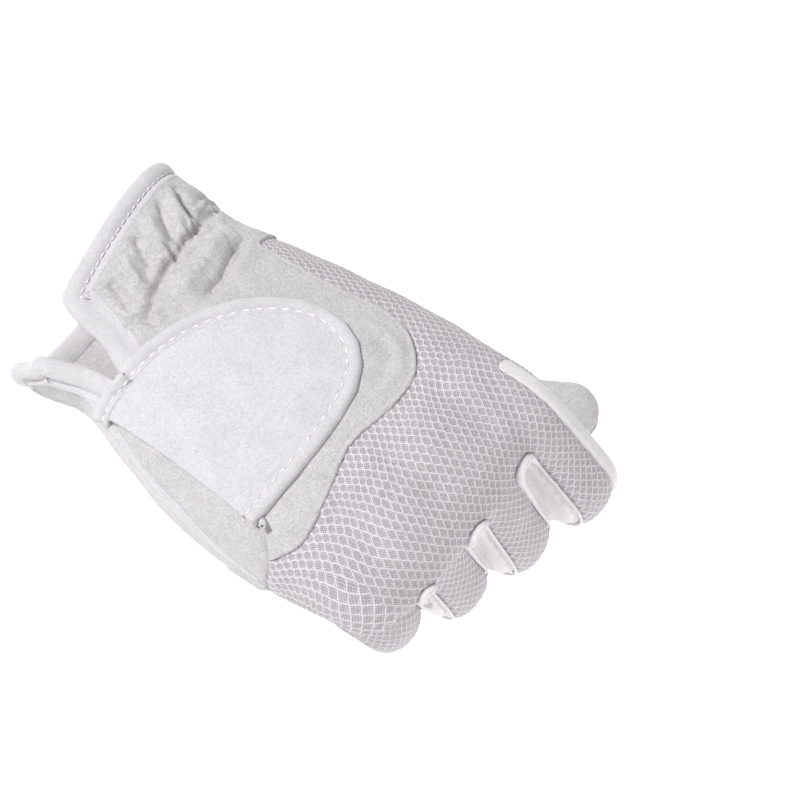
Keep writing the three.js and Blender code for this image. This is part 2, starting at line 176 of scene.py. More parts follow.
# %% Fingers and thumb
# name, knuckle x y z, lean, bones, bends, half widths
FINGERS = [
    ("index", (-30.5, 108.5, 4), 4, (43, 25, 23), (58, 88, 48), (8.9, 9.9, 9.8, 9.1, 8.0)),
    ("middle", (-9.5, 110, 5), 5.5, (46, 28, 24), (74, 82, 45), (9.1, 10.1, 9.9, 9.3, 8.2)),
    ("ring", (11.5, 107, 3), 8, (43, 26, 24), (76, 82, 45), (8.6, 9.6, 9.3, 8.8, 7.8)),
    ("little", (31, 100.5, 0), 11, (33, 20, 21), (68, 88, 48), (8.1, 9.1, 8.5, 8.0, 7.3)),
]
FINGER_RADII = (13, 11, 11)
THUMB_POINTS = [(-12, 36, -8), (-31, 62, -32), (-46, 91, -61), (-64, 114, -63)]
THUMB_HALVES = (15, 12.6, 10.4, 8.6)
THUMB_RADII = (30, 14)
THUMB_SIDE = Vector((0.75, 0.45, 0.1))
LINE_STEP = 2.0
TUBE_SIDES = 40
TIP_RINGS = (0, 20, 38, 54, 68, 80)
FINGER_BACK = 24.0
FINGER_PRESSED = 0.97
THUMB_PRESSED = 0.9


def rounded_line(points, radii):
    """The middle line of a finger as (point, bone): straight bones with an arc at each joint."""
    line = [(points[0], 0.0)]
    for k in range(1, len(points) - 1):
        before = (points[k] - points[k - 1]).normalized()
        after = (points[k + 1] - points[k]).normalized()
        bend = before.angle(after)
        cut = radii[k - 1] * math.tan(bend / 2)
        centre = points[k] + (after - before).normalized() * radii[k - 1] / math.cos(bend / 2)
        spoke = points[k] - before * cut - centre
        axis = before.cross(after).normalized()
        steps = max(4, round(radii[k - 1] * bend / LINE_STEP))
        for s in range(steps + 1):
            at = centre + Matrix.Rotation(bend * s / steps, 3, axis) @ spoke
            line.append((at, k - 0.5 + s / steps))
    line.append((points[-1], len(points) - 1.0))
    return line


def finger_tube(bm, line, halves, side, pressed):
    """A tube along a middle line, with a round tip."""
    rings = []

    def ring_at(point, ahead, half, scale):
        across = (side - ahead * side.dot(ahead)).normalized()
        size = half * scale
        rings.append(oval_ring(bm, point, across, across.cross(ahead), size, size * pressed,
                               size * pressed, TUBE_SIDES))

    for i in range(len(line) - 1):
        point, bone = line[i]
        ahead = (line[i + 1][0] - line[max(i - 1, 0)][0]).normalized()
        k = min(int(bone), len(halves) - 2)
        ring_at(point, ahead, halves[k] + (halves[k + 1] - halves[k]) * (bone - k), 1.0)
    ahead = (line[-1][0] - line[-2][0]).normalized()
    for degrees in TIP_RINGS:
        lift = math.radians(degrees)
        back = halves[-1] * (1 - math.sin(lift))
        ring_at(line[-1][0] - ahead * back, ahead, halves[-1], math.cos(lift))
    bridge(bm, rings)


def finger_points(finger):
    """The joints of a finger in space."""
    name, root, lean, bones, bends, halves = finger
    rise = Vector((math.sin(math.radians(lean)), 0, math.cos(math.radians(lean))))
    flat = [(-FINGER_BACK, -1.0), (0.0, 0.0)]
    turned = 0.0
    for bone, bend in zip(bones, bends):
        turned += math.radians(bend)
        flat.append((flat[-1][0] + bone * math.cos(turned), flat[-1][1] - bone * math.sin(turned)))
    return [Vector(root) + Vector((0, ahead, 0)) + rise * up for ahead, up in flat]


finger_lines = []
finger_sides = []
for finger in FINGERS:
    lean = math.radians(finger[2])
    line = rounded_line(finger_points(finger), FINGER_RADII)
    side = Vector((math.cos(lean), 0, -math.sin(lean)))
    finger_tube(form, line, finger[5], side, FINGER_PRESSED)
    finger_lines.append(line)
    finger_sides.append(side)
thumb_line = rounded_line([Vector(p) for p in THUMB_POINTS], THUMB_RADII)
finger_tube(form, thumb_line, THUMB_HALVES, THUMB_SIDE, THUMB_PRESSED)
print("fingers:", [len(line) for line in finger_lines])

# %% [markdown]
# The body, the fingers and the thumb still pass through each other. Booleans would join them with
# sharp creases and long thin faces. A voxel remesh makes one skin of them with faces of even size,
# and a little smoothing rounds the creases as stretched cloth does.

# %% One even skin
VOXEL = 1.1
ROUNDING = 6


def as_object(bm, name):
    """A bmesh in millimetres as an object at the origin, in metres."""
    bmesh.ops.scale(bm, vec=(MM, MM, MM), verts=bm.verts)
    mesh = bpy.data.meshes.new(name)
    bm.to_mesh(mesh)
    bm.free()
    obj = bpy.data.objects.new(name, mesh)
    bpy.context.scene.collection.objects.link(obj)
    return obj


def applied(obj):
    """The object's mesh with its modifiers applied, as a bmesh in millimetres; the object goes."""
    bm = bmesh.new()
    bm.from_object(obj, bpy.context.evaluated_depsgraph_get())
    bmesh.ops.scale(bm, vec=(1 / MM,) * 3, verts=bm.verts)
    bpy.data.objects.remove(obj)
    return bm


bmesh.ops.recalc_face_normals(form, faces=form.faces)
skin = as_object(form, "form")
remesh = skin.modifiers.new("skin", "REMESH")
remesh.mode = "VOXEL"
remesh.voxel_size = VOXEL * MM
form = applied(skin)
for _ in range(ROUNDING):
    bmesh.ops.smooth_vert(form, verts=form.verts, factor=0.5, use_axis_x=True, use_axis_y=True,
                          use_axis_z=True)
form.normal_update()
print("form:", len(form.faces), "faces")

# %% [markdown]
# ## Cutting the form into panels
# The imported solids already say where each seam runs. For a point on the form, the nearest solid is
# the panel that it belongs to, and where two solids are equally near runs the seam. The mesh is
# cut along that line, so the seams are smooth curves and not steps from face to face.
# The distances are kept as values of the points, because a value can be averaged and cut at a level.

# %% How far each point of the form is from each solid
PANELS = ["back_panel", "wrist_patch", "outer_side_panel", "palm_panel", "thumb_panel", "thumb_back",
          "fourchette_index_middle", "fourchette_middle_ring", "fourchette_ring_little",
          "index_side_strip", "cuff_binding"]
FAR = 8.0


def tree_of(name):
    """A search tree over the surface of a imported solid, in millimetres."""
    mesh = bpy.data.objects[name].data
    points = [v.co / MM for v in mesh.vertices]
    return BVHTree.FromPolygons(points, [tuple(p.vertices) for p in mesh.polygons])


trees = {name: tree_of(name) for name in PANELS}
distance = {name: form.verts.layers.float.new(name) for name in PANELS}
for v in form.verts:
    for name in PANELS:
        hit = trees[name].find_nearest(v.co, FAR)
        v[distance[name]] = hit[3] if hit[0] is not None else FAR
print("measured", len(form.verts), "points")

# %% [markdown]
# Giving whole faces to the nearest panel would leave stair-steps along the seams. Where a seam
# crosses an edge of the mesh, a point close to it is moved onto the seam, or else the edge is split.
# The values are averaged a little first; the strips between the fingers get rounder ends that way.

# %% Cut the form along each seam
SNAP = 0.22


def cut_along(bm, field, level=0.0):
    """Cut a mesh where a value of its points crosses a level: the points close to the line are
    moved onto it, the other crossed edges are split there, and the cuts are joined."""
    on_line = {}
    crossed = []
    for e in bm.edges:
        a, b = e.verts
        fa, fb = a[field] - level, b[field] - level
        if fa * fb < 0:
            crossed.append((e, fa / (fa - fb)))
    moved = {}
    for e, t in crossed:
        a, b = e.verts
        if t < SNAP and a not in moved:
            moved[a] = a.co.lerp(b.co, t)
        elif t > 1 - SNAP and b not in moved:
            moved[b] = b.co.lerp(a.co, 1 - t)
    for v, co in moved.items():
        v.co = co
        v[field] = level
        on_line[v] = True
    for e, t in crossed:
        a, b = e.verts
        fa, fb = a[field] - level, b[field] - level
        if fa * fb < 0:
            made = bmesh.utils.edge_split(e, a, fa / (fa - fb))[1]
            made[field] = level
            on_line[made] = True
    bmesh.ops.connect_verts(bm, verts=list(on_line))


ROUNDED = {"fourchette_index_middle": 20, "fourchette_middle_ring": 20, "fourchette_ring_little": 20}
STEADY = 2


def even_out(bm, field, rounds):
    """Average a value with its neighbours, which rounds the corners of the line it draws."""
    for _ in range(rounds):
        fresh = [(v[field] + sum(e.other_vert(v)[field] for e in v.link_edges)) / (1 + len(v.link_edges))
                 for v in bm.verts]
        for v, value in zip(bm.verts, fresh):
            v[field] = value


side_of = {name: form.verts.layers.float.new(name + "_side") for name in PANELS}
for name in sorted(PANELS, key=lambda n: n not in ROUNDED):
    others = [distance[n] for n in PANELS if n != name]
    own, side = distance[name], side_of[name]
    for v in form.verts:
        v[side] = v[own] - min(v[other] for other in others)
    even_out(form, side, ROUNDED.get(name, STEADY))
    cut_along(form, side)

# %% [markdown]
# The mouth is straight on the palm side and a little longer towards the thumb on the back. On the
# outer side the cuff is slit, so that the hand can pass. Both cuts are distances too: below zero is
# open, and the edge that is left is the rim that the tape binds.

# %% Open the mouth and the slit, and name the panels
MOUTH_BACK = ((-34.0, -2.0), (22.0, 5.0))
MOUTH_PALM = -1.5
SLIT_ANGLE = math.radians(34.0)
SLIT_MOUTH = 10.2
SLIT_END = 1.2
SLIT_LENGTH = 31.0
SLIT_OUT = Vector((math.cos(SLIT_ANGLE), 0, math.sin(SLIT_ANGLE)))
SLIT_ACROSS = Vector((-math.sin(SLIT_ANGLE), 0, math.cos(SLIT_ANGLE)))


def past_mouth(p):
    """How far a point lies inside the mouth of the cuff."""
    (x0, y0), (x1, y1) = MOUTH_BACK
    t = min(max((p.x - x0) / (x1 - x0), 0.0), 1.0)
    back = min(max((p.z - 2.0) / 6.0, 0.0), 1.0)
    return p.y - (MOUTH_PALM + (y0 + (y1 - y0) * t - MOUTH_PALM) * back)


def past_slit(p):
    """How far a point lies outside the slit, which narrows from the mouth to its end."""
    t = min(max((p.y + 3.0) / (SLIT_LENGTH + 3.0), 0.0), 1.0)
    side = abs(p.dot(SLIT_ACROSS)) - (SLIT_MOUTH + (SLIT_END - SLIT_MOUTH) * t)
    return max(side, p.y - SLIT_LENGTH, -p.dot(SLIT_OUT))


open_field = form.verts.layers.float.new("open")
for past in (past_mouth, past_slit):
    for v in form.verts:
        v[open_field] = past(v.co)
    cut_along(form, open_field)
    holes = [f for f in form.faces if past(f.calc_center_median()) < 0]
    bmesh.ops.delete(form, geom=holes, context="FACES")
form.normal_update()
panel_of = form.faces.layers.int.new("panel")
for f in form.faces:
    sums = [sum(v[side_of[n]] for v in f.verts) for n in PANELS]
    rounded = [k for k, n in enumerate(PANELS) if n in ROUNDED and sums[k] < 0]
    f[panel_of] = rounded[0] if rounded else sums.index(min(sums))
counts = {n: sum(1 for f in form.faces if f[panel_of] == k) for k, n in enumerate(PANELS)}
print("panels:", counts)

# %% [markdown]
# Everything that lies on the glove is laid on this form: a point is dropped to the nearest place on
# it and lifted along its smooth normal. A Shrinkwrap modifier does the same for a whole object, but
# here single points of bindings, rolls and stitches need it while they are being made.

# %% Lay points on the form
bmesh.ops.triangulate(form, faces=[f for f in form.faces if len(f.verts) > 4])
form.normal_update()
form.verts.ensure_lookup_table()
form.faces.ensure_lookup_table()
form_tree = BVHTree.FromBMesh(form)
form_normals = [v.normal.copy() for v in form.verts]


def smooth_normal(index, point):
    """The normal at a point of a face, blended from the face's corners."""
    total = Vector()
    for v in form.faces[index].verts:
        total += form_normals[v.index] / ((v.co - point).length + 0.05)
    return total.normalized()


def laid(point, height):
    """The place on the form nearest to a point, lifted by a height, and the normal there."""
    place, _, index, _ = form_tree.find_nearest(point)
    normal = smooth_normal(index, place)
    return place + normal * height, normal


def dropped(x, y):
    """The place on the back of the hand straight below a point of the pattern."""
    place, _, index, _ = form_tree.ray_cast(Vector((x, y, 60.0)), Vector((0, 0, -1)))
    return place

# %% [markdown]
# ## Walls of cloth
# A panel is its part of the form, divided finer. Its height over the form follows the distance to
# its edges: a turned seam draws both panels down, and a lapped edge stands proud. So a panel first
# needs two things: a mesh of its own, and the distance of its points to each kind of edge.

# %% Take a panel, and measure the distance to its edges
WALL = 1.4


def take_panel(name, cuts):
    """A panel of the form as its own mesh. Its edges are sorted by the panel on the other side."""
    k = PANELS.index(name)
    part = form.copy()
    layer = part.faces.layers.int["panel"]
    other = part.edges.layers.int.new("other")
    part.normal_update()
    for e in part.edges:
        sides = [f[layer] for f in e.link_faces if f[layer] != k]
        e[other] = sides[0] if sides else -1
    away = [f for f in part.faces if f[layer] != k]
    bmesh.ops.delete(part, geom=away, context="FACES")
    coarse = part.copy()
    for _ in range(cuts):
        bmesh.ops.subdivide_edges(part, edges=part.edges, cuts=1, use_grid_fill=True)
        inside = [v for v in part.verts if not v.is_boundary]
        for _ in range(3):
            bmesh.ops.smooth_vert(part, verts=inside, factor=0.5, use_axis_x=True, use_axis_y=True,
                                  use_axis_z=True)
    return part, coarse


def edge_distance(bm, coarse, others):
    """For each point, its distance to the panel's edges that meet the named neighbours."""
    wanted = {PANELS.index(n) if n in PANELS else -1 for n in others}
    other = coarse.edges.layers.int["other"]
    edges = [e for e in coarse.edges if e.is_boundary and e[other] in wanted]
    if not edges:
        return [99.0] * len(bm.verts)
    near = {}
    tree = KDTree(2 * len(edges))
    ends = []
    for e in edges:
        for v in e.verts:
            near.setdefault(v.index, []).append(e)
            ends.append(v)
            tree.insert(v.co, len(ends) - 1)
    tree.balance()
    out = []
    for v in bm.verts:
        best = 99.0
        for _, i, _ in tree.find_n(v.co, 3):
            for e in near[ends[i].index]:
                a, b = (w.co for w in e.verts)
                foot, t = intersect_point_line(v.co, a, b)
                foot = a if t < 0 else b if t > 1 else foot
                best = min(best, (v.co - foot).length)
        out.append(best)
    return out


# %% [markdown]
# Cloth has a thickness, which shows at the mouth of the cuff. A Solidify modifier would copy all the
# fine faces to the inside, where nobody sees them. This helper gives the lifted sheet the coarse
# faces as its inner side, and a rim between the two.

# %% Close a panel into a wall
def walled(part, coarse, heights, wall=WALL):
    """Lift the points of a panel, then give it an inner face and a rim."""
    part.normal_update()
    coarse.normal_update()
    normals = [v.normal.copy() for v in part.verts]
    border = [e for e in part.edges if e.is_boundary]
    base = {v: (v.co.copy(), v.normal.copy()) for e in border for v in e.verts}
    for v, n, h in zip(part.verts, normals, heights):
        v.co += n * h
    made = bmesh.ops.extrude_edge_only(part, edges=border)["geom"]
    rim = [v for v in made if isinstance(v, bmesh.types.BMVert)]
    tree = KDTree(len(base))
    places = list(base.values())
    starts = list(base)
    for i, v in enumerate(starts):
        tree.insert(v.co, i)
    tree.balance()
    for v in rim:
        at, n = places[tree.find(v.co)[1]]
        v.co = at - n * wall
    for v in coarse.verts:
        v.co -= v.normal * wall
    bmesh.ops.reverse_faces(coarse, faces=coarse.faces)
    inner = bpy.data.meshes.new("inner")
    coarse.to_mesh(inner)
    part.from_mesh(inner)
    bpy.data.meshes.remove(inner)
    coarse.free()
    return part


def trim_piece(bm, name):
    """Put a piece in the scene: it is smooth and rides the glove."""
    obj = as_object(bm, name)
    for face in obj.data.polygons:
        face.use_smooth = True
    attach(obj, "root")
    print(name, sum(len(p.vertices) - 2 for p in obj.data.polygons), "triangles")
    return obj


def finish_piece(bm, name, node):
    """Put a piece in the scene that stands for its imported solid."""
    obj = trim_piece(bm, name)
    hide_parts(node)
    return obj


# %% [markdown]
# ## Folds
# The elastic at the wrist gathers the suede into short folds that fan out from it, and the tab
# presses a soft ridge into the patch under it. A cloth simulation would put its folds anywhere, so
# the main ones are drawn: each is a short line on the pattern with its depth and its width, and a
# valley is negative.

# %% Folds of the wrist, in millimetres on the pattern
# depth, width, points along the fold
WRIST_FOLDS = [
    (-2.6, 1.35, ((-30, 17.6), (-21.8, 19.1), (-15.1, 20.1), (-5.5, 21.1), (2.2, 22.5), (10, 25.5))),
    (-2.8, 1.6, ((-25.5, 30.2), (-18, 32.0), (-12, 34.0), (-3.5, 33.5))),
    (2.1, 2.3, ((-26, 25.2), (-17, 26.4), (-8, 27.8), (0, 28.6))),
    (-1.5, 1.1, ((-27.5, 6), (-24.5, 11), (-20.2, 17.5))),
    (1.3, 1.5, ((-24.5, 6), (-20.8, 11), (-17.2, 17))),
    (-1.7, 1.2, ((-20.4, 7), (-16.8, 11.5), (-13.2, 17.6))),
    (1.4, 1.7, ((-14.5, 8), (-11.5, 12), (-9.0, 17.5))),
    (-1.6, 1.3, ((-8.2, 9), (-5.6, 13), (-3.4, 18.6))),
    (1.2, 1.6, ((-2.0, 10), (0.5, 14), (2.5, 19.5))),
    (-1.3, 1.2, ((5.2, 11), (6.8, 15), (8.4, 21))),
    (1.0, 1.4, ((11, 13), (11.8, 18), (12.6, 23))),
]
PATCH_FOLDS = [
    (0.55, 1.3, ((-23.5, 67), (-23.8, 75), (-22.0, 80.6), (-17.5, 84.2), (-11.0, 84.6), (-3, 83.6))),
    (-0.35, 1.4, ((-21.0, 72), (-20.6, 77), (-18.2, 80.4), (-13, 81.6), (-5, 82.2))),
]
KNUCKLE_HOLLOWS = [
    (-1.1, 4.2, ((-18, 92), (-19.5, 102), (-19, 114))),
    (-1.1, 4.0, ((2, 90), (1.5, 102), (2, 114))),
    (-1.1, 3.8, ((21, 88), (22, 98), (23.5, 110))),
    (0.7, 5.0, ((-31, 92), (-30.5, 102))),
    (0.8, 5.0, ((-9, 92), (-9.5, 104))),
    (0.7, 4.6, ((12, 90), (11.5, 101))),
]
PALM_FOLDS = [
    (-1.2, 2.0, ((-26, 58), (-12, 66), (6, 70), (26, 69))),
    (-0.9, 1.8, ((-14, 22), (-8, 36), (-2, 52), (4, 62))),
    (-0.9, 1.5, ((-26, 19.5), (-10, 20), (8, 20), (26, 20))),
]


def fold_heights(bm, folds, upper=True):
    """How far the folds lift each point of a panel, on the back of the hand or on the palm."""
    points = np.array([v.co for v in bm.verts])
    total = np.zeros(len(points))
    facing = (points[:, 2] > 2.0) if upper else (points[:, 2] < -2.0)
    for depth, width, line in folds:
        best = np.full(len(points), 99.0)
        place = np.zeros(len(points))
        line = np.array(line, dtype=float)
        for k in range(len(line) - 1):
            a, run = line[k], line[k + 1] - line[k]
            t = np.clip(((points[:, :2] - a) @ run) / (run @ run), 0, 1)
            gap = np.hypot(*(points[:, :2] - a - t[:, None] * run).T)
            nearer = gap < best
            best = np.where(nearer, gap, best)
            place = np.where(nearer, (k + t) / (len(line) - 1), place)
        fade = np.clip(5 * np.minimum(place, 1 - place) + 0.1, 0, 1)
        total += depth * np.exp(-(best / width) ** 2) * fade * facing
    return total


# %% [markdown]
# ## The panels
# A turned seam is sewn on the inside, so the two panels dip into a groove. The patch of the wrist
# lies over the knit with a raw edge, and one line of stitches presses in just inside the edge. Both
# are profiles: a height for each distance from the edge, which costs no geometry of its own.

# %% Seam and edge profiles
SEAM_DEPTH = 0.75
SEAM_REACH = 0.9
PATCH_LIFT = 0.85
STITCH_INSET = 1.5


def seam_dip(gap, depth=SEAM_DEPTH, reach=SEAM_REACH):
    """How far a turned seam draws a panel down at a distance from it."""
    return -depth * np.exp(-(np.asarray(gap) / reach) ** 1.5)


def ease(x, low, high):
    """A smooth step from 0 to 1 between two values."""
    t = np.clip((x - low) / (high - low), 0.0, 1.0)
    return t * t * (3 - 2 * t)


def raw_edge(gap):
    """The height of a lapped raw edge: a small rounded step, then a pressed line of stitches."""
    step = math.sqrt(max(0.0, 1 - (1 - min(gap / 0.45, 1.0)) ** 2))
    return PATCH_LIFT * step - 0.22 * math.exp(-((gap - STITCH_INSET) / 0.4) ** 2)


def slack(bm, amount, size, seed):
    """Soft cloth is never quite even: a slow change of height over a panel."""
    offset = Vector((seed * 7.3, seed * 3.1, seed * 5.7))
    return [amount * noise.noise(v.co / size + offset) for v in bm.verts]


# %% [markdown]
# An elastic thread behind the wrist gathers the suede into many small creases, which run along the
# glove, fork and fade out a finger's width from the thread. Drawing each one would take long, so
# they come from noise that is stretched along the glove; its zero lines make the sharp creases.

# %% Gather the wrist
GATHER_LINE = ((-34, 16.5), (-22, 19.0), (-15, 20.1), (-5.5, 21.1), (2, 22.5), (12, 25.5), (30, 30))
GATHER_DEPTH = 2.2
GATHER_REACH = 8.5


def gathers(bm, seed):
    """The height of the creases at each point of a panel."""
    offset = Vector((seed * 3.7, seed * 9.1, seed * 1.9))
    line_x, line_y = np.array(GATHER_LINE, dtype=float).T
    heights = []
    for v in bm.verts:
        away = v.co.y - float(np.interp(v.co.x, line_x, line_y))
        bend = 1.3 * noise.noise(v.co / 7.0 + offset)
        place = Vector(((v.co.x + 0.25 * away) / 3.6 + bend, v.co.y / 11.0, v.co.z / 5.0)) + offset
        crease = 1 - 3.2 * abs(noise.noise(place))
        small = noise.noise(Vector((place.x * 2.3, place.y * 2.0, place.z * 2.0)))
        near = math.exp(-(away / GATHER_REACH) ** 2)
        heights.append((crease * 0.55 + small * 0.35) * GATHER_DEPTH * near)
    return heights


# %% [markdown]
# The patch is one piece of suede over the wrist and half of the back of the hand. All the heights so
# far are added for it: the raw edge and the seams, the drawn folds, the gathers and a little slack.

# %% Sew the wrist patch
RAW_TO = ("back_panel",)
wrist, coarse = take_panel("wrist_patch", 1)
raw = edge_distance(wrist, coarse, RAW_TO)
turned = edge_distance(wrist, coarse, [n for n in PANELS if n not in RAW_TO])
folds = fold_heights(wrist, WRIST_FOLDS + PATCH_FOLDS)
uneven = slack(wrist, 0.35, 9.0, 1)
creases = gathers(wrist, 2) * ease(np.minimum(raw, turned), 0, 3)
heights = [raw_edge(a) + seam_dip(b) + f + u + c
           for a, b, f, u, c in zip(raw, turned, folds, uneven, creases)]
wrist_piece = finish_piece(walled(wrist, coarse, heights), "wrist_suede", "wrist_patch")

# %% [markdown]
# The suede of the outer side meets the knit with a turned seam. Its long lower edge is folded over
# as a soft rounded welt that runs along the side of the hand to the palm. The palm and the thumb are
# plain suede with turned seams, so they need only their seams, their folds and their slack.

# %% Sew the outer side, the palm and the thumb
def welt(gap, height=1.0, middle=1.5, width=1.3):
    """A soft rounded fold along an edge."""
    return height * math.exp(-((gap - middle) / width) ** 2)


outer, coarse = take_panel("outer_side_panel", 1)
to_palm = edge_distance(outer, coarse, ("palm_panel",))
to_rest = edge_distance(outer, coarse, [n for n in PANELS if n != "palm_panel"])
uneven = slack(outer, 0.4, 8.0, 2)
heights = []
for a, b, u in zip(to_palm, to_rest, uneven):
    heights.append(welt(a) + seam_dip(a, 1.0, 0.7) + seam_dip(b) + u)
outer_piece = finish_piece(walled(outer, coarse, heights), "outer_side_suede", "outer_side_panel")

palm, coarse = take_panel("palm_panel", 0)
gaps = edge_distance(palm, coarse, PANELS)
folds = fold_heights(palm, PALM_FOLDS, upper=False)
uneven = slack(palm, 0.5, 11.0, 3)
heights = [seam_dip(g) + f + u for g, f, u in zip(gaps, folds, uneven)]
palm_piece = finish_piece(walled(palm, coarse, heights), "palm_suede", "palm_panel")

pad, coarse = take_panel("thumb_panel", 1)
gaps = edge_distance(pad, coarse, PANELS)
heights = [seam_dip(g, 0.6) + u for g, u in zip(gaps, slack(pad, 0.3, 7.0, 4))]
pad_piece = finish_piece(walled(pad, coarse, heights), "thumb_suede", "thumb_panel")

# %% [markdown]
# Between the fingers the side walls are narrow strips of stretch suede. They are sunk a little along
# their edges, where a rolled lip will lie. The strip of the first finger is a rounded piping: its
# height follows a circle over its width, and swells slowly from its start.

# %% Sew the walls between the fingers and the strip of the first finger
WALL_NAMES = ("fourchette_index_middle", "fourchette_middle_ring", "fourchette_ring_little")
WALL_FOLD = 0.95
STRIP_HALF = 1.35
STRIP_RISE = 1.15
stretch_pieces = []
slit_edges = []


def chain_of(bm, other_name):
    """The longest chain of a panel's edges that meet one neighbour, in order."""
    other = bm.edges.layers.int["other"]
    wanted = PANELS.index(other_name)
    edges = dict.fromkeys(e for e in bm.edges if e.is_boundary and e[other] == wanted)
    chains = []
    while edges:
        e = edges.popitem()[0]
        chain = list(e.verts)
        for end in (0, -1):
            while True:
                step = next((n for n in chain[end].link_edges if n in edges), None)
                if step is None:
                    break
                edges.pop(step)
                point = step.other_vert(chain[end])
                chain = [point] + chain if end == 0 else chain + [point]
        chains.append([v.co.copy() for v in chain])
    return max(chains, key=len)


for name in WALL_NAMES:
    wall_strip, coarse = take_panel(name, 1)
    slit_edges.append(chain_of(coarse, "back_panel"))
    gaps = edge_distance(wall_strip, coarse, PANELS)
    heights = [seam_dip(g, 0.8, 1.2) - WALL_FOLD * math.exp(-((g - 1.75) / 0.5) ** 2) for g in gaps]
    stretch_pieces.append(finish_piece(walled(wall_strip, coarse, heights), name + "_suede", name))

finger_strip, coarse = take_panel("index_side_strip", 2)
strip_start = min((v.co for v in finger_strip.verts), key=lambda p: p.y - p.z).copy()
print("the strip starts at", [round(x, 1) for x in strip_start])
gaps = edge_distance(finger_strip, coarse, PANELS)
swell = [ease((v.co - strip_start).length, 1.0, 26.0) for v in finger_strip.verts]
heights = [k * STRIP_RISE * math.sqrt(max(0.0, 1 - (1 - min(g / STRIP_HALF, 1.0)) ** 2)) - 0.2
           for g, k in zip(gaps, swell)]
stretch_pieces.append(finish_piece(walled(finger_strip, coarse, heights), "index_side_suede",
                                   "index_side_strip"))

# %% [markdown]
# ## The knit
# The knit carries its own map, because its rows follow the cloth: across the hand and along it,
# then round the knuckles and down the curled fingers. An unwrapped map would turn and shrink from
# finger to finger. This one is worked out in millimetres of cloth, so that the cells keep their size,
# and becomes the piece's UV map, which the weave of the material reads.

# %% Map the knit over the hand and down the fingers
def along_lines(line, side, lift):
    """The length of cloth along the back of a bent finger at each point of its middle line."""
    points = [p for p, _ in line]
    lifted = []
    for i, p in enumerate(points):
        ahead = (points[min(i + 1, len(points) - 1)] - points[max(i - 1, 0)]).normalized()
        lifted.append(p + side.cross(ahead) * lift)
    out = [0.0]
    for a, b in zip(lifted, lifted[1:]):
        out.append(out[-1] + (b - a).length)
    return out


def finger_places(points, line, side, lengths):
    """The place of many points on a bent finger: length along it, distance across, and angle round
    it. Each step of the middle line owns the room between the planes across its two ends, so the
    length grows evenly over the outside of a bend."""
    middle = np.array([p for p, _ in line])
    ahead = np.gradient(middle, axis=0)
    ahead /= np.linalg.norm(ahead, axis=1)[:, None]
    side = np.array(side)
    best = np.full(len(points), np.inf)
    length, across, angle = (np.zeros(len(points)) for _ in range(3))
    last = len(middle) - 2
    for k in range(last + 1):
        before = (points - middle[k]) @ ahead[k]
        after = (middle[k + 1] - points) @ ahead[k + 1]
        room = ((before >= 0) | (k == 0)) & ((after >= 0) | (k == last))
        t = before / np.where(np.abs(before + after) < 1e-6, 1e-6, before + after)
        off = points - middle[k] - np.clip(t, 0, 1)[:, None] * (middle[k + 1] - middle[k])
        gap = np.linalg.norm(off, axis=1)
        nearer = room & (gap < best)
        outward = np.cross(side, ahead[k])
        best = np.where(nearer, gap, best)
        length = np.where(nearer, lengths[k] + (lengths[k + 1] - lengths[k]) * t, length)
        across = np.where(nearer, off @ side, across)
        angle = np.where(nearer, np.arctan2(off @ side, off @ outward), angle)
    return length, across, angle


HAND_HALF = 41.0
HAND_RISE = 20.5
HAND_MIDDLE = 1.0
round_hand = [0.0]
for k in range(180):
    angle = math.radians(k + 0.5)
    step = math.radians(1) * math.hypot(HAND_HALF * math.cos(angle), HAND_RISE * math.sin(angle))
    round_hand.append(round_hand[-1] + step)
CLOTH_LIFT = 6.0
THUMB_ROUND = 10.5
MAP_HAND = 90.0
MAP_FINGERS = 104.0
finger_lengths = [along_lines(line, side, CLOTH_LIFT) for line, side in zip(finger_lines, finger_sides)]
thumb_lengths = along_lines(thumb_line, THUMB_SIDE.normalized(), CLOTH_LIFT)
MAP_SCALE = 0.01
CELL_ACROSS = 2.35
CELL_ALONG = 3.2
CELL_DEPTH = 0.13


def knit_map(points):
    """Across and along the knit of the hand at each point, in millimetres of cloth. Between two
    fingers the map passes evenly from one to the other, so that the rows run on over the webs."""
    angle = np.degrees(np.arctan2((points[:, 0] - HAND_MIDDLE) / HAND_HALF, points[:, 2] / HAND_RISE))
    hand_u = np.copysign(np.interp(np.abs(angle), np.arange(181), round_hand), angle) + HAND_MIDDLE
    hand_v = points[:, 1]
    places = []
    for finger, line, side, lengths in zip(FINGERS, finger_lines, finger_sides, finger_lengths):
        length, across, angle = finger_places(points, line, side, lengths)
        places.append((finger[1][0], length + finger[1][1] - FINGER_BACK, across, angle * finger[5][1]))
    x, v, _, across = places[0]
    u = x + across
    for (x0, v0, a0, _), (x1, v1, a1, round1) in zip(places, places[1:]):
        t = ease(a0 / np.maximum(a0 - a1, 0.1), 0.0, 1.0)
        between = (a0 >= 0)
        u = np.where(between, (x0 + a0) * (1 - t) + (x1 + a1) * t, u)
        v = np.where(between, v0 * (1 - t) + v1 * t, v)
    x, v3, a3, round3 = places[3]
    u = np.where(a3 >= 0, x + round3, u)
    v = np.where(a3 >= 0, v3, v)
    share = ease(v, MAP_HAND, MAP_FINGERS)
    return hand_u + (u - hand_u) * share, hand_v + (v - hand_v) * share


def thumb_map(points):
    """Across and along the knit of the thumb."""
    length, _, angle = finger_places(points, thumb_line, THUMB_SIDE.normalized(), thumb_lengths)
    return angle * THUMB_ROUND, length


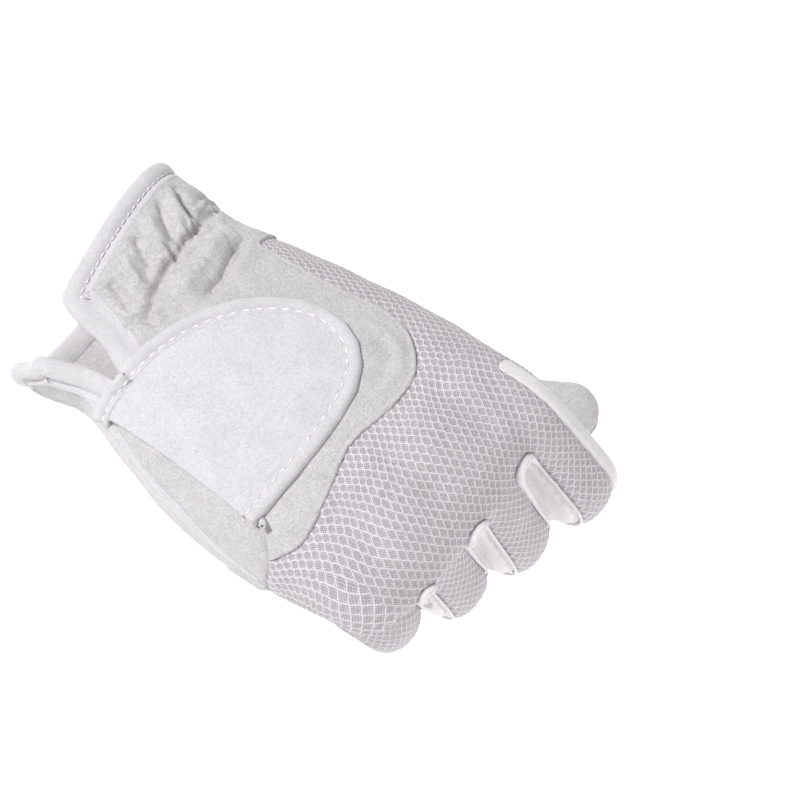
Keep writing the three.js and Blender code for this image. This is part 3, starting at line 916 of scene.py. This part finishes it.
def add_map(bm, mapping):
    """Write a map of the cloth as the piece's UV map."""
    layer = bm.loops.layers.uv.new("cloth")
    bm.verts.index_update()
    u, v = mapping(np.array([v.co for v in bm.verts]))
    for face in bm.faces:
        for loop in face.loops:
            k = loop.vert.index
            loop[layer].uv = (u[k] * MAP_SCALE, v[k] * MAP_SCALE)


def cell_relief(u, v):
    """How far the knit stands up at places of its map: threads are high and cells are sunk."""
    first = np.cos(math.pi * (u / CELL_ACROSS + v / CELL_ALONG))
    second = np.cos(math.pi * (u / CELL_ACROSS - v / CELL_ALONG))
    return CELL_DEPTH * (first ** 2 + second ** 2 - 0.5)


back, coarse = take_panel("back_panel", 1)
to_patch = np.array(edge_distance(back, coarse, ("wrist_patch",)))
to_rest = np.array(edge_distance(back, coarse, [n for n in PANELS if n != "wrist_patch"]))
uneven = np.array(slack(back, 0.3, 10.0, 5))
relief = cell_relief(*knit_map(np.array([v.co for v in back.verts])))
hollows = fold_heights(back, KNUCKLE_HOLLOWS)
heights = (seam_dip(to_rest, 0.55) + (uneven + hollows) * ease(to_patch, 0, 4)
           + relief * ease(to_rest, 0.2, 1.2))
back = walled(back, coarse, heights)
add_map(back, knit_map)
back_piece = finish_piece(back, "back_knit", "back_panel")
print("cloth down the fingers:", [round(lengths[-1]) for lengths in finger_lengths], "mm")

thumb_back, coarse = take_panel("thumb_back", 1)
gaps = edge_distance(thumb_back, coarse, PANELS)
thumb_back = walled(thumb_back, coarse, [seam_dip(g, 0.5) for g in gaps])
add_map(thumb_back, thumb_map)
thumb_knit = finish_piece(thumb_back, "thumb_knit", "thumb_back")

# %% [markdown]
# ## Bindings
# A binding is one strip of jersey tape folded round an edge. Its section is drawn once, as distances
# in from the edge and above the cloth, and is swept along the edge: a ring of points for each step,
# laid on the form, and bridged to the next. A bevelled curve would be quicker, but its section
# couldn't follow the curve of the cloth under it.

# %% Sweep a section along an edge
def even_path(points, step, closed, rounds=3):
    """A path smoothed and divided into even steps."""
    path = np.array(points, dtype=float)
    for _ in range(rounds):
        if closed:
            path = (np.roll(path, 1, 0) + 2 * path + np.roll(path, -1, 0)) / 4
        else:
            path[1:-1] = (path[:-2] + 2 * path[1:-1] + path[2:]) / 4
    if closed:
        path = np.vstack([path, path[:1]])
    run = np.concatenate([[0], np.cumsum(np.linalg.norm(np.diff(path, axis=0), axis=1))])
    count = max(3, round(run[-1] / step))
    at = np.linspace(0, run[-1], count + 1)[:count if closed else None]
    return [Vector([np.interp(a, run, path[:, i]) for i in range(3)]) for a in at]


def path_frames(path, closed, inward):
    """For each point of a path: the place, the normal and the direction into the cloth."""
    count = len(path)
    frames = []
    for i, p in enumerate(path):
        before = path[(i - 1) % count] if closed or i else path[i]
        after = path[(i + 1) % count] if closed or i + 1 < count else path[i]
        ahead = (after - before).normalized()
        place, normal = laid(p, 0.0)
        into = normal.cross(ahead).normalized() * inward
        frames.append((place, normal, into))
    return frames


def at_section(frame_here, across, height):
    """A point of the section: in from the edge and above the cloth."""
    place, normal, into = frame_here
    if across <= 0:
        return place + into * across + normal * height
    return laid(place + into * across, height)[0]


def sweep(bm, frames, section, closed, widths=None):
    """Bridge a ring of the section at each frame of an edge."""
    rings = []
    for i, here in enumerate(frames):
        wide = widths[i] if widths else 1.0
        ring = bmesh.ops.create_circle(bm, segments=len(section), radius=1.0)["verts"]
        for v, (across, height) in zip(ring, section):
            v.co = at_section(here, across * wide, height)
        rings.append(ring)
    bridge(bm, rings, closed)


def rim_path(bm):
    """The rim of the cuff as one loop: round the mouth and both sides of the slit."""
    edges = dict.fromkeys(e for e in bm.edges if e.is_boundary)
    loops = []
    while edges:
        e = edges.popitem()[0]
        loop = [e.verts[0], e.verts[1]]
        while True:
            step = next((n for n in loop[-1].link_edges if n in edges), None)
            if step is None:
                break
            edges.pop(step)
            loop.append(step.other_vert(loop[-1]))
        loops.append(loop)
    loops.sort(key=len)
    print("open edges of the form:", [len(loop) for loop in loops])
    return [v.co for v in loops[-1][:-1]]


# %% [markdown]
# The tape of the cuff is a soft roll over the edge, a channel for the stitches, and a second, lower
# ridge. It goes round the mouth and both sides of the slit in one closed loop.

# %% Bind the cuff
# in from the edge, above the cloth: round the outside, over the edge and down the inside
CUFF_SECTION = [
    (6.1, 0.0), (5.9, 0.55), (5.35, 0.9), (4.7, 0.85), (4.2, 0.5), (3.75, 0.2), (3.3, 0.45),
    (2.6, 1.15), (1.7, 1.45),
    (0.8, 1.5), (-0.1, 1.25), (-0.75, 0.65), (-1.0, -0.2), (-0.95, -1.2), (-0.5, -2.0), (0.3, -2.5),
    (1.6, -2.6), (3.4, -2.3), (5.4, -1.9), (6.1, -1.2),
]
SLIT_WIDER = 1.3
SLIT_FROM = (2.0, 9.0)
RIM_STEP = 1.1
rim = even_path(rim_path(form), RIM_STEP, True, 8)
middle_in = rim[0].lerp(rim[1], 0.5)
near_face = form.faces[form_tree.find_nearest(middle_in)[2]].calc_center_median()
test = path_frames(rim, True, 1.0)
inward = 1.0 if (near_face - test[0][0]).dot(test[0][2]) > 0 else -1.0
rim_frames = path_frames(rim, True, inward)
cuff = bmesh.new()
widths = [1 + (SLIT_WIDER - 1) * ease(p.y, *SLIT_FROM) for p in rim]
sweep(cuff, rim_frames, CUFF_SECTION, True, widths)
bmesh.ops.recalc_face_normals(cuff, faces=cuff.faces)
cuff_piece = finish_piece(cuff, "cuff_tape", "cuff_binding")

# %% [markdown]
# Round the top of each slit between two fingers the seam is rolled to the outside: a soft lip that
# is fullest at the top, stays full on its outer side and thins out soon on the other. A ring of ten
# points with its own radius at each step gives that, where a curve's bevel would be even.

# %% Roll the lips of the slits
LIP = 1.35
LIP_LOW = 0.42
LIP_LONG = 19.0
LIP_SHORT = 5.0
LIP_STEP = 0.7
LIP_LIFT = 0.25
ROLL_SIDES = 10


def roll(bm, frames, radii, lift):
    """A soft roll along an edge, with its own radius at each step and closed ends."""
    rings = []
    for here, radius in zip(frames, radii):
        ring = bmesh.ops.create_circle(bm, segments=ROLL_SIDES, radius=1.0)["verts"]
        place, normal, into = here
        for v in ring:
            v.co = place + into * (v.co.x * radius) + normal * (v.co.y * radius + lift * radius)
        rings.append(ring)
    bridge(bm, rings)


lips = bmesh.new()
for edge in slit_edges:
    path = even_path(edge, LIP_STEP, False, 6)
    top = max(range(len(path)), key=lambda i: path[i].z - 0.4 * path[i].y)
    outer_first = path[0].x > path[-1].x
    radii = []
    for i in range(len(path)):
        fade = LIP_LONG if (i < top) == outer_first else LIP_SHORT
        radii.append(LIP_LOW + (LIP - LIP_LOW) * math.exp(-(abs(i - top) * LIP_STEP / fade) ** 2))
    roll(lips, path_frames(path, False, 1.0), radii, LIP_LIFT)
    print("lip of", round(LIP_STEP * len(path)), "mm, top at", [round(x) for x in path[top]])
bmesh.ops.recalc_face_normals(lips, faces=lips.faces)
lip_piece = trim_piece(lips, "slit_lips")
stretch_pieces.append(lip_piece)

# %% [markdown]
# A folded strip of the same tape as the cuff runs along the outer side of the glove. It is widest
# beside the tab and runs out before the knit. The roll of the lips makes it, sunk halfway.

# %% Fold the tape along the outer side
# x, y, z of points along the side, in millimetres
SIDE_LINE = [(26.5, 12.5, 6.2), (29.9, 22.4, 6.2), (35.7, 39.8, 6.4), (39.6, 55.2, 7.1),
             (41.6, 73.3, 6.6), (42.7, 84.0, 2.0)]
SIDE_WIDE = 1.55
SIDE_SUNK = -0.45
SIDE_STEP = 0.8
# places along the side, from 0 to 1, and the share of the full width there
SIDE_SWELL = ((0, 0.08, 0.75, 1), (0.3, 0.9, 1, 0.25))
side_path = even_path([laid(Vector(p), 0.0)[0] for p in SIDE_LINE], SIDE_STEP, False, 12)
side_frames = path_frames([laid(p, 0.0)[0] for p in side_path], False, 1.0)
side_places = np.linspace(0, 1, len(side_frames))
side_radii = [SIDE_WIDE * float(np.interp(t, *SIDE_SWELL)) for t in side_places]
side_tape = bmesh.new()
roll(side_tape, side_frames, side_radii, SIDE_SUNK)
bmesh.ops.recalc_face_normals(side_tape, faces=side_tape.faces)
side_piece = trim_piece(side_tape, "side_tape")

# %% [markdown]
# ## The closing tab
# The tab is a flat piece of suede with a straight heel and a round nose. A bound edge runs round the
# nose: a soft roll, a row of machine stitches, and the flat inner edge of the tape. The heel is bare.
# The outline is drawn on the pattern and dropped onto the form, so the tab bends as the wrist does.

# %% Bind the nose of the tab
# x, y of points round the nose, on the pattern; then the section as for the cuff
TAB_NOSE = [(35, 78), (29, 79.2), (22, 79.8), (12, 80.9), (2, 81.2), (-7, 79.8), (-13, 77.5),
            (-18.2, 72.5), (-20.5, 66), (-20.6, 59.5), (-18.5, 53), (-14.6, 46.5), (-9, 40.5),
            (-2.0, 35.2), (6, 31), (13, 28.4), (20, 27), (31, 25.6)]
TAB_SECTION = [
    (0.25, 0.3), (-0.05, 1.0), (0.1, 1.8), (0.6, 2.45), (1.3, 2.75), (2.0, 2.75), (2.7, 2.4),
    (3.15, 1.95), (3.5, 1.75), (3.9, 1.85), (4.5, 1.85), (4.8, 1.65), (4.85, 1.2), (4.7, 0.5),
    (3.2, 0.35), (1.6, 0.3),
]
NOSE_STEP = 0.9
TAB_MIDDLE = (8, 55)
nose = even_path([dropped(x, y) for x, y in TAB_NOSE], NOSE_STEP, False, 2)
nose_frames = path_frames(nose, False, 1.0)
tip, _, into_tab = nose_frames[len(nose) // 2]
if (dropped(*TAB_MIDDLE) - tip).dot(into_tab) < 0:
    nose_frames = path_frames(nose, False, -1.0)
binding = bmesh.new()
sweep(binding, nose_frames, TAB_SECTION, False)
bmesh.ops.recalc_face_normals(binding, faces=binding.faces)
tab_edge = finish_piece(binding, "tab_tape", "tab_binding")

# %% [markdown]
# At the corner of the heel the end of the tape curls over into a small open roll. One edge is spun
# most of the way round, given a thickness, and stood on the corner.

# %% Curl the end of the tape
CURL_TURN = math.radians(300)
CURL_RADIUS = 0.95
CURL_WIDTH = 3.0
CURL_THICK = 0.55
CURL_CORNER = (33.6, 79.4)
CURL_RAISED = 1.9
CURL_STEPS = 14
CURL_LEAN = Vector((0.35, 0.5, 0))
corner, corner_normal = laid(dropped(*CURL_CORNER), CURL_RAISED)
curl = bmesh.new()
strip_ends = [curl.verts.new((CURL_RADIUS, 0, z)) for z in (-CURL_WIDTH / 2, CURL_WIDTH / 2)]
strip_edge = curl.edges.new(strip_ends)
bmesh.ops.spin(curl, geom=[strip_edge], cent=(0, 0, 0), axis=(0, 0, 1), dvec=(0, 0, 0.02),
               angle=CURL_TURN, steps=CURL_STEPS)
bmesh.ops.recalc_face_normals(curl, faces=curl.faces)
bmesh.ops.solidify(curl, geom=curl.faces[:], thickness=CURL_THICK)
stands = (corner_normal * 0.8 + CURL_LEAN).normalized()
upright = Vector((0, 0, 1)).rotation_difference(stands)
bmesh.ops.rotate(curl, verts=curl.verts, cent=(0, 0, 0), matrix=upright.to_matrix())
bmesh.ops.translate(curl, verts=curl.verts, vec=corner)
curl_piece = trim_piece(curl, "tape_end")

# %% [markdown]
# The panel of the tab is cut from the form by its outline, as the panels of the hand are, and lifted
# over the gathers. It is a little fuller in its middle than at its edges.

# %% Lay the panel of the tab
TAB_HEEL = ((31.0, 25.8), (35.0, 78.2))
TAB_LIFT = 0.5
TAB_THICK = 1.25
TAPE_COVER = 4.3
TAB_SMOOTH = 12
TAB_FULL = 0.5
BACK_ONLY = 6.0


def inside_tab(p):
    """How far a point lies inside the panel of the tab, in the plane of the pattern."""
    (x0, y0), (x1, y1) = TAB_HEEL
    length = math.hypot(x1 - x0, y1 - y0)
    heel = ((p.y - y0) * (x1 - x0) - (p.x - x0) * (y1 - y0)) / length
    best = 99.0
    for (ax, ay), (bx, by) in zip(TAB_NOSE, TAB_NOSE[1:]):
        run = math.hypot(bx - ax, by - ay)
        t = min(max(((p.x - ax) * (bx - ax) + (p.y - ay) * (by - ay)) / run ** 2, 0.0), 1.0)
        gap = math.hypot(p.x - ax - t * (bx - ax), p.y - ay - t * (by - ay))
        if gap < abs(best):
            side = (bx - ax) * (p.y - ay) - (by - ay) * (p.x - ax)
            best = math.copysign(gap, side)
    return min(heel, best - TAPE_COVER)


tab = form.copy()
below = [f for f in tab.faces if f.calc_center_median().z < BACK_ONLY]
bmesh.ops.delete(tab, geom=below, context="FACES")
tab_field = tab.verts.layers.float.new("tab")
for v in tab.verts:
    v[tab_field] = inside_tab(v.co)
cut_along(tab, tab_field)
outside = [f for f in tab.faces if inside_tab(f.calc_center_median()) < 0]
bmesh.ops.delete(tab, geom=outside, context="FACES")
coarse = tab.copy()
bmesh.ops.subdivide_edges(tab, edges=tab.edges, cuts=1, use_grid_fill=True)
inside = [v for v in tab.verts if not v.is_boundary]
for _ in range(TAB_SMOOTH):
    bmesh.ops.smooth_vert(tab, verts=inside, factor=0.5, use_axis_x=True, use_axis_y=True,
                          use_axis_z=True)
uneven = slack(tab, 0.3, 12.0, 6)
heights = []
for v, u in zip(tab.verts, uneven):
    gap = max(inside_tab(v.co), 0.0)
    round_edge = -0.35 * math.exp(-gap / 0.35)
    fullness = TAB_FULL * ease(gap, 1, 9) + u * ease(gap, 0, 4)
    heights.append(TAB_LIFT + TAB_THICK + round_edge + fullness)
tab_piece = finish_piece(walled(tab, coarse, heights, -TAB_LIFT), "tab_suede", "closure_tab")

# %% [markdown]
# ## Stitches
# A stitch is a short thread that dips into the cloth at both ends. A bump in the material would look
# flat from near, so one small rounded bar is set for each stitch. It has only twenty faces, because
# there are hundreds of them.

# %% Sew the rows of stitches
def stitch_row(bm, frames, across, height, pitch, length, radius):
    """A row of stitches along an edge, at a distance in from it and a height over the cloth."""
    line = [at_section(here, across, height) for here in frames]
    row = even_path(line, pitch, False, 0)
    for a, b in zip(row, row[1:]):
        ahead = (b - a).normalized()
        _, normal = laid(a, 0.0)
        sideways = ahead.cross(normal).normalized()
        made = bmesh.ops.create_icosphere(bm, subdivisions=1, radius=1.0)["verts"]
        for v in made:
            x, y, z = v.co
            v.co = (a + b) / 2 + ahead * (x * length / 2) + sideways * (y * radius) \
                + normal * (z * radius - 0.35 * radius * x * x)


thread = bmesh.new()
stitch_row(thread, nose_frames, across=3.45, height=1.9, pitch=3.3, length=2.7, radius=0.26)
stitch_row(thread, rim_frames, across=3.45, height=0.6, pitch=2.6, length=2.1, radius=0.2)
bmesh.ops.recalc_face_normals(thread, faces=thread.faces)
thread_piece = trim_piece(thread, "stitches")

# %% [markdown]
# ## Light and floor
# The photograph is taken in soft, even studio light on white. Two area lights and a pale sky give
# it: a strong one from the upper left, which models the folds, and a weak one that opens the shade.
# The floor lies well below the glove, which is held up in the air, so it catches no hard shadow.

# %% Studio
FLOOR_DROP = 160.0
LIGHT_AWAY = 2200.0
SKY = 0.36


def area_light(name, place, size, power):
    """A square soft light that looks at the middle of the glove."""
    lamp = bpy.data.lights.new(name, "AREA")
    lamp.size = size * MM
    lamp.energy = power
    obj = bpy.data.objects.new(name, lamp)
    bpy.context.scene.collection.objects.link(obj)
    target = Vector((0, 70, 0)) * MM
    spot = place * LIGHT_AWAY * MM
    obj.location = spot
    obj.rotation_euler = (target - spot).to_track_quat("-Z", "Y").to_euler()


area_light("key", LOOK_FROM * 0.8 - right * 0.5 + up * 0.42, size=420, power=50.0)
area_light("fill", LOOK_FROM * 0.55 + right * 0.65 - up * 0.5, size=1500, power=16.0)
world = bpy.data.worlds.new("studio")
world.use_nodes = True
world.node_tree.nodes["Background"].inputs["Color"].default_value = (1.0, 1.0, 1.0, 1.0)
world.node_tree.nodes["Background"].inputs["Strength"].default_value = SKY
bpy.context.scene.world = world
bpy.context.scene.view_settings.view_transform = "Standard"

floor_mesh = bmesh.new()
bmesh.ops.create_grid(floor_mesh, x_segments=1, y_segments=1, size=4000)
bmesh.ops.translate(floor_mesh, vec=(0, 0, cad_box[0][2] / MM - FLOOR_DROP), verts=floor_mesh.verts)
floor = as_object(floor_mesh, "floor")
floor_paint = bpy.data.materials.new("floor")
floor_paint.use_nodes = True
floor_shader = floor_paint.node_tree.nodes["Principled BSDF"]
floor_shader.inputs["Base Color"].default_value = (0.97, 0.97, 0.97, 1)
floor_shader.inputs["Roughness"].default_value = 0.9
floor_shader.inputs["Emission Color"].default_value = (1, 1, 1, 1)
floor_shader.inputs["Emission Strength"].default_value = 0.6
floor.data.materials.append(floor_paint)
print("floor", round(cad_box[0][2] / MM - FLOOR_DROP), "mm from the middle of the wrist")

# %% [markdown]
# ## Finishes
# The finishes are all cloth: rough, nearly without gloss, and told apart by their grain. Their shader
# maths is written as Python: a small class wraps a socket, so that an expression on values adds its
# Math nodes, which is easier to read and to change than a picture of wires.

# %% A socket that can be calculated with
class Value:
    """A node's output, which Python's operators turn into Math nodes."""

    def __init__(self, tree, socket):
        self.tree = tree
        self.socket = socket

    def maths(self, operation, *values, swap=False):
        values = (values[0], self) if swap else (self, *values)
        return self.tree.node("ShaderNodeMath", {"operation": operation}, dict(enumerate(values)))

    def __add__(self, other):
        return self.maths("ADD", other)

    def __radd__(self, other):
        return self.maths("ADD", other, swap=True)

    def __sub__(self, other):
        return self.maths("SUBTRACT", other)

    def __rsub__(self, other):
        return self.maths("SUBTRACT", other, swap=True)

    def __mul__(self, other):
        return self.maths("MULTIPLY", other)

    def __rmul__(self, other):
        return self.maths("MULTIPLY", other, swap=True)

    def clamped(self):
        return self.maths("MINIMUM", 1.0).maths("MAXIMUM", 0.0)

    def out(self, name):
        """Another output of the same node."""
        return Value(self.tree, self.socket.node.outputs[name])


class Finish:
    """A material of this glove, with its nodes made by one method."""

    def __init__(self, name, roughness, sheen):
        self.material = bpy.data.materials.new(name)
        self.material.use_nodes = True
        self.nodes = self.material.node_tree.nodes
        self.shader = self.nodes["Principled BSDF"]
        self.shader.inputs["Roughness"].default_value = roughness
        self.shader.inputs["Specular IOR Level"].default_value = 0.25
        self.shader.inputs["Sheen Weight"].default_value = sheen
        self.shader.inputs["Sheen Roughness"].default_value = 0.6

    def node(self, kind, settings=None, inputs=None, output=0):
        node = self.nodes.new(kind)
        for key, value in (settings or {}).items():
            setattr(node, key, value)
        for key, value in (inputs or {}).items():
            if isinstance(value, Value):
                self.material.node_tree.links.new(value.socket, node.inputs[key])
            else:
                node.inputs[key].default_value = value
        return Value(self, node.outputs[output])

    def coat(self, socket, value):
        """Link a value to a socket of the shader."""
        self.material.node_tree.links.new(value.socket, self.shader.inputs[socket])

    def place(self):
        """Object coordinates, in metres."""
        return self.node("ShaderNodeTexCoord").out("Object")

    def noise(self, vector, scale, detail, roughness):
        return self.node("ShaderNodeTexNoise", {}, {"Vector": vector, "Scale": scale, "Detail": detail,
                                                    "Roughness": roughness})

    def blend(self, share, low, high):
        """A colour between two colours."""
        return self.node("ShaderNodeMix", {"data_type": "RGBA"}, {0: share, 6: low, 7: high}, output=2)

    def relief(self, height, depth):
        """Bump of a depth in metres, linked to the shader's normal."""
        bump = self.node("ShaderNodeBump", {}, {"Height": height, "Strength": 1.0, "Distance": depth})
        self.coat("Normal", bump)

    def dress(self, *pieces):
        for obj in pieces:
            obj.data.materials.clear()
            obj.data.materials.append(self.material)


def grey(value, tint):
    """A colour from a display brightness of 0 to 255, with a tint."""
    linear = (value / 255) ** 2.2
    return (linear * tint[0], linear * tint[1], linear * tint[2], 1.0)


# %% [markdown]
# Suede is a nap of short fibres. From near it is mottled where the nap lies one way or the other,
# and it has no gloss, only a soft sheen at its edges. Hair would be far too heavy for a nap this
# short, so three noises of different size mix two tones and make a shallow relief. The tab is a
# whiter suede, and the stretch suede between the fingers is the palest and smoothest.

# %% Suede
def suede(name, light, dark, tint, depth):
    """A napped finish: broad mottling, fine grain and a shallow relief."""
    finish = Finish(name, 0.95, 0.25)
    place = finish.place()
    broad = finish.noise(place, 130.0, 4.0, 0.65)
    grain = finish.noise(place, 950.0, 3.0, 0.7)
    fibres = finish.noise(place, 2400.0, 2.0, 0.6)
    share = ((broad - 0.5) * 0.8 + (grain - 0.5) * 1.1 + (fibres - 0.5) * 1.9 + 0.5).clamped()
    finish.coat("Base Color", finish.blend(share, grey(dark, tint), grey(light, tint)))
    finish.relief(grain * 0.6 + fibres * 0.4 + broad * 0.8, depth)
    return finish


WARM = (1.0, 0.968, 0.978)
COOL = (0.99, 0.96, 1.0)
TAB_TINT = (0.985, 0.96, 1.0)
KNIT_TINT = (1.0, 0.95, 1.0)
suede_finish = suede("suede", 213, 172, WARM, 0.0004)
tab_finish = suede("tab_suede", 222, 192, TAB_TINT, 0.0003)
stretch_finish = suede("stretch_suede", 236, 212, WARM, 0.0002)
suede_finish.dress(wrist_piece, outer_piece, palm_piece, pad_piece)
tab_finish.dress(tab_piece)
stretch_finish.dress(*stretch_pieces)
print("suede:", len(suede_finish.nodes), "nodes")

# %% [markdown]
# The jersey tape is a fine brushed knit, cooler in colour than the suede. Its loops are too small to
# see one by one, so a very fine noise stands for its pile, in the colour and in the relief. The
# thread is whiter than the tape, and only its twist shows.

# %% Jersey tape and thread
tape_finish = Finish("jersey_tape", 0.9, 0.3)
place = tape_finish.place()
soft = tape_finish.noise(place, 160.0, 3.0, 0.6)
pile = tape_finish.noise(place, 3200.0, 3.0, 0.75)
share = ((soft - 0.5) * 0.6 + (pile - 0.5) * 2.4 + 0.55).clamped()
tape_finish.coat("Base Color", tape_finish.blend(share, grey(194, COOL), grey(238, COOL)))
tape_finish.relief(pile + soft * 0.8, 0.00032)
tape_finish.dress(cuff_piece, tab_edge, curl_piece, side_piece)

thread_finish = Finish("thread", 0.6, 0.2)
place = thread_finish.place()
twist = thread_finish.noise(place, 3000.0, 2.0, 0.5)
thread_finish.coat("Base Color", thread_finish.blend(twist, grey(236, COOL), grey(252, COOL)))
thread_finish.relief(twist, 0.0001)
thread_finish.dress(thread_piece)

# %% [markdown]
# The knit is a mesh of small cells between zigzag threads. Modelled loops would take millions of
# faces, so the relief of the cells is in the mesh and the threads are drawn on its map. Two families
# of slanted threads cross and make the cells. On the back of the hand the cells are round pits, and
# where the cloth is stretched over the fingers they are crisp diamonds. The cells are grey-lilac,
# because the dark of the inside shows through their finer mesh.

# %% Knit
FINE_MESH = 4
THREAD_WAVE = 0.035
ROUND_UNTIL = 90.0
CRISP_AFTER = 104.0
knit_finish = Finish("knit", 0.85, 0.15)
cloth = knit_finish.node("ShaderNodeUVMap", {"uv_map": "cloth"})
parts = knit_finish.node("ShaderNodeSeparateXYZ", {}, {0: cloth})
wobble = knit_finish.noise(knit_finish.place(), 300.0, 2.0, 0.5) - 0.5
u = parts.out("X") * (1 / (CELL_ACROSS * MAP_SCALE)) + wobble * 0.04
v = parts.out("Y") * (1 / (CELL_ALONG * MAP_SCALE)) + wobble * 0.04
wave_first = ((u - v) * (2 * math.pi)).maths("SINE") * THREAD_WAVE
wave_second = ((u + v) * (2 * math.pi)).maths("SINE") * THREAD_WAVE
first = ((u + v + wave_first) * math.pi).maths("SINE").maths("ABSOLUTE")
second = ((u - v + wave_second) * math.pi).maths("SINE").maths("ABSOLUTE")
crisp = (1 - first.maths("MINIMUM", second) * 1.8).clamped()
rounded = (1 - first * second * 2.1).clamped()
change = CRISP_AFTER - ROUND_UNTIL
curled = (v * (CELL_ALONG / change) - ROUND_UNTIL / change).clamped()
threads = crisp * curled + rounded * (1 - curled)
fine_first = ((u * FINE_MESH + v * FINE_MESH) * math.pi).maths("SINE").maths("ABSOLUTE")
fine_second = ((u * FINE_MESH - v * FINE_MESH) * math.pi).maths("SINE").maths("ABSOLUTE")
fine = fine_first.maths("MINIMUM", fine_second)
fuzz = knit_finish.noise(knit_finish.place(), 2200.0, 2.0, 0.6)
broad = knit_finish.noise(knit_finish.place(), 70.0, 3.0, 0.6)
cover = (threads * 0.6 + 0.2 + (0.45 - fine) * 0.7 + (fuzz - 0.5) * 1.1 + (broad - 0.5) * 0.25).clamped()
knit_finish.coat("Base Color", knit_finish.blend(cover, grey(150, KNIT_TINT), grey(236, KNIT_TINT)))
knit_finish.relief(threads + fuzz * 0.25, 0.00016)
knit_finish.dress(back_piece, thumb_knit)
print("knit:", len(knit_finish.nodes), "nodes")
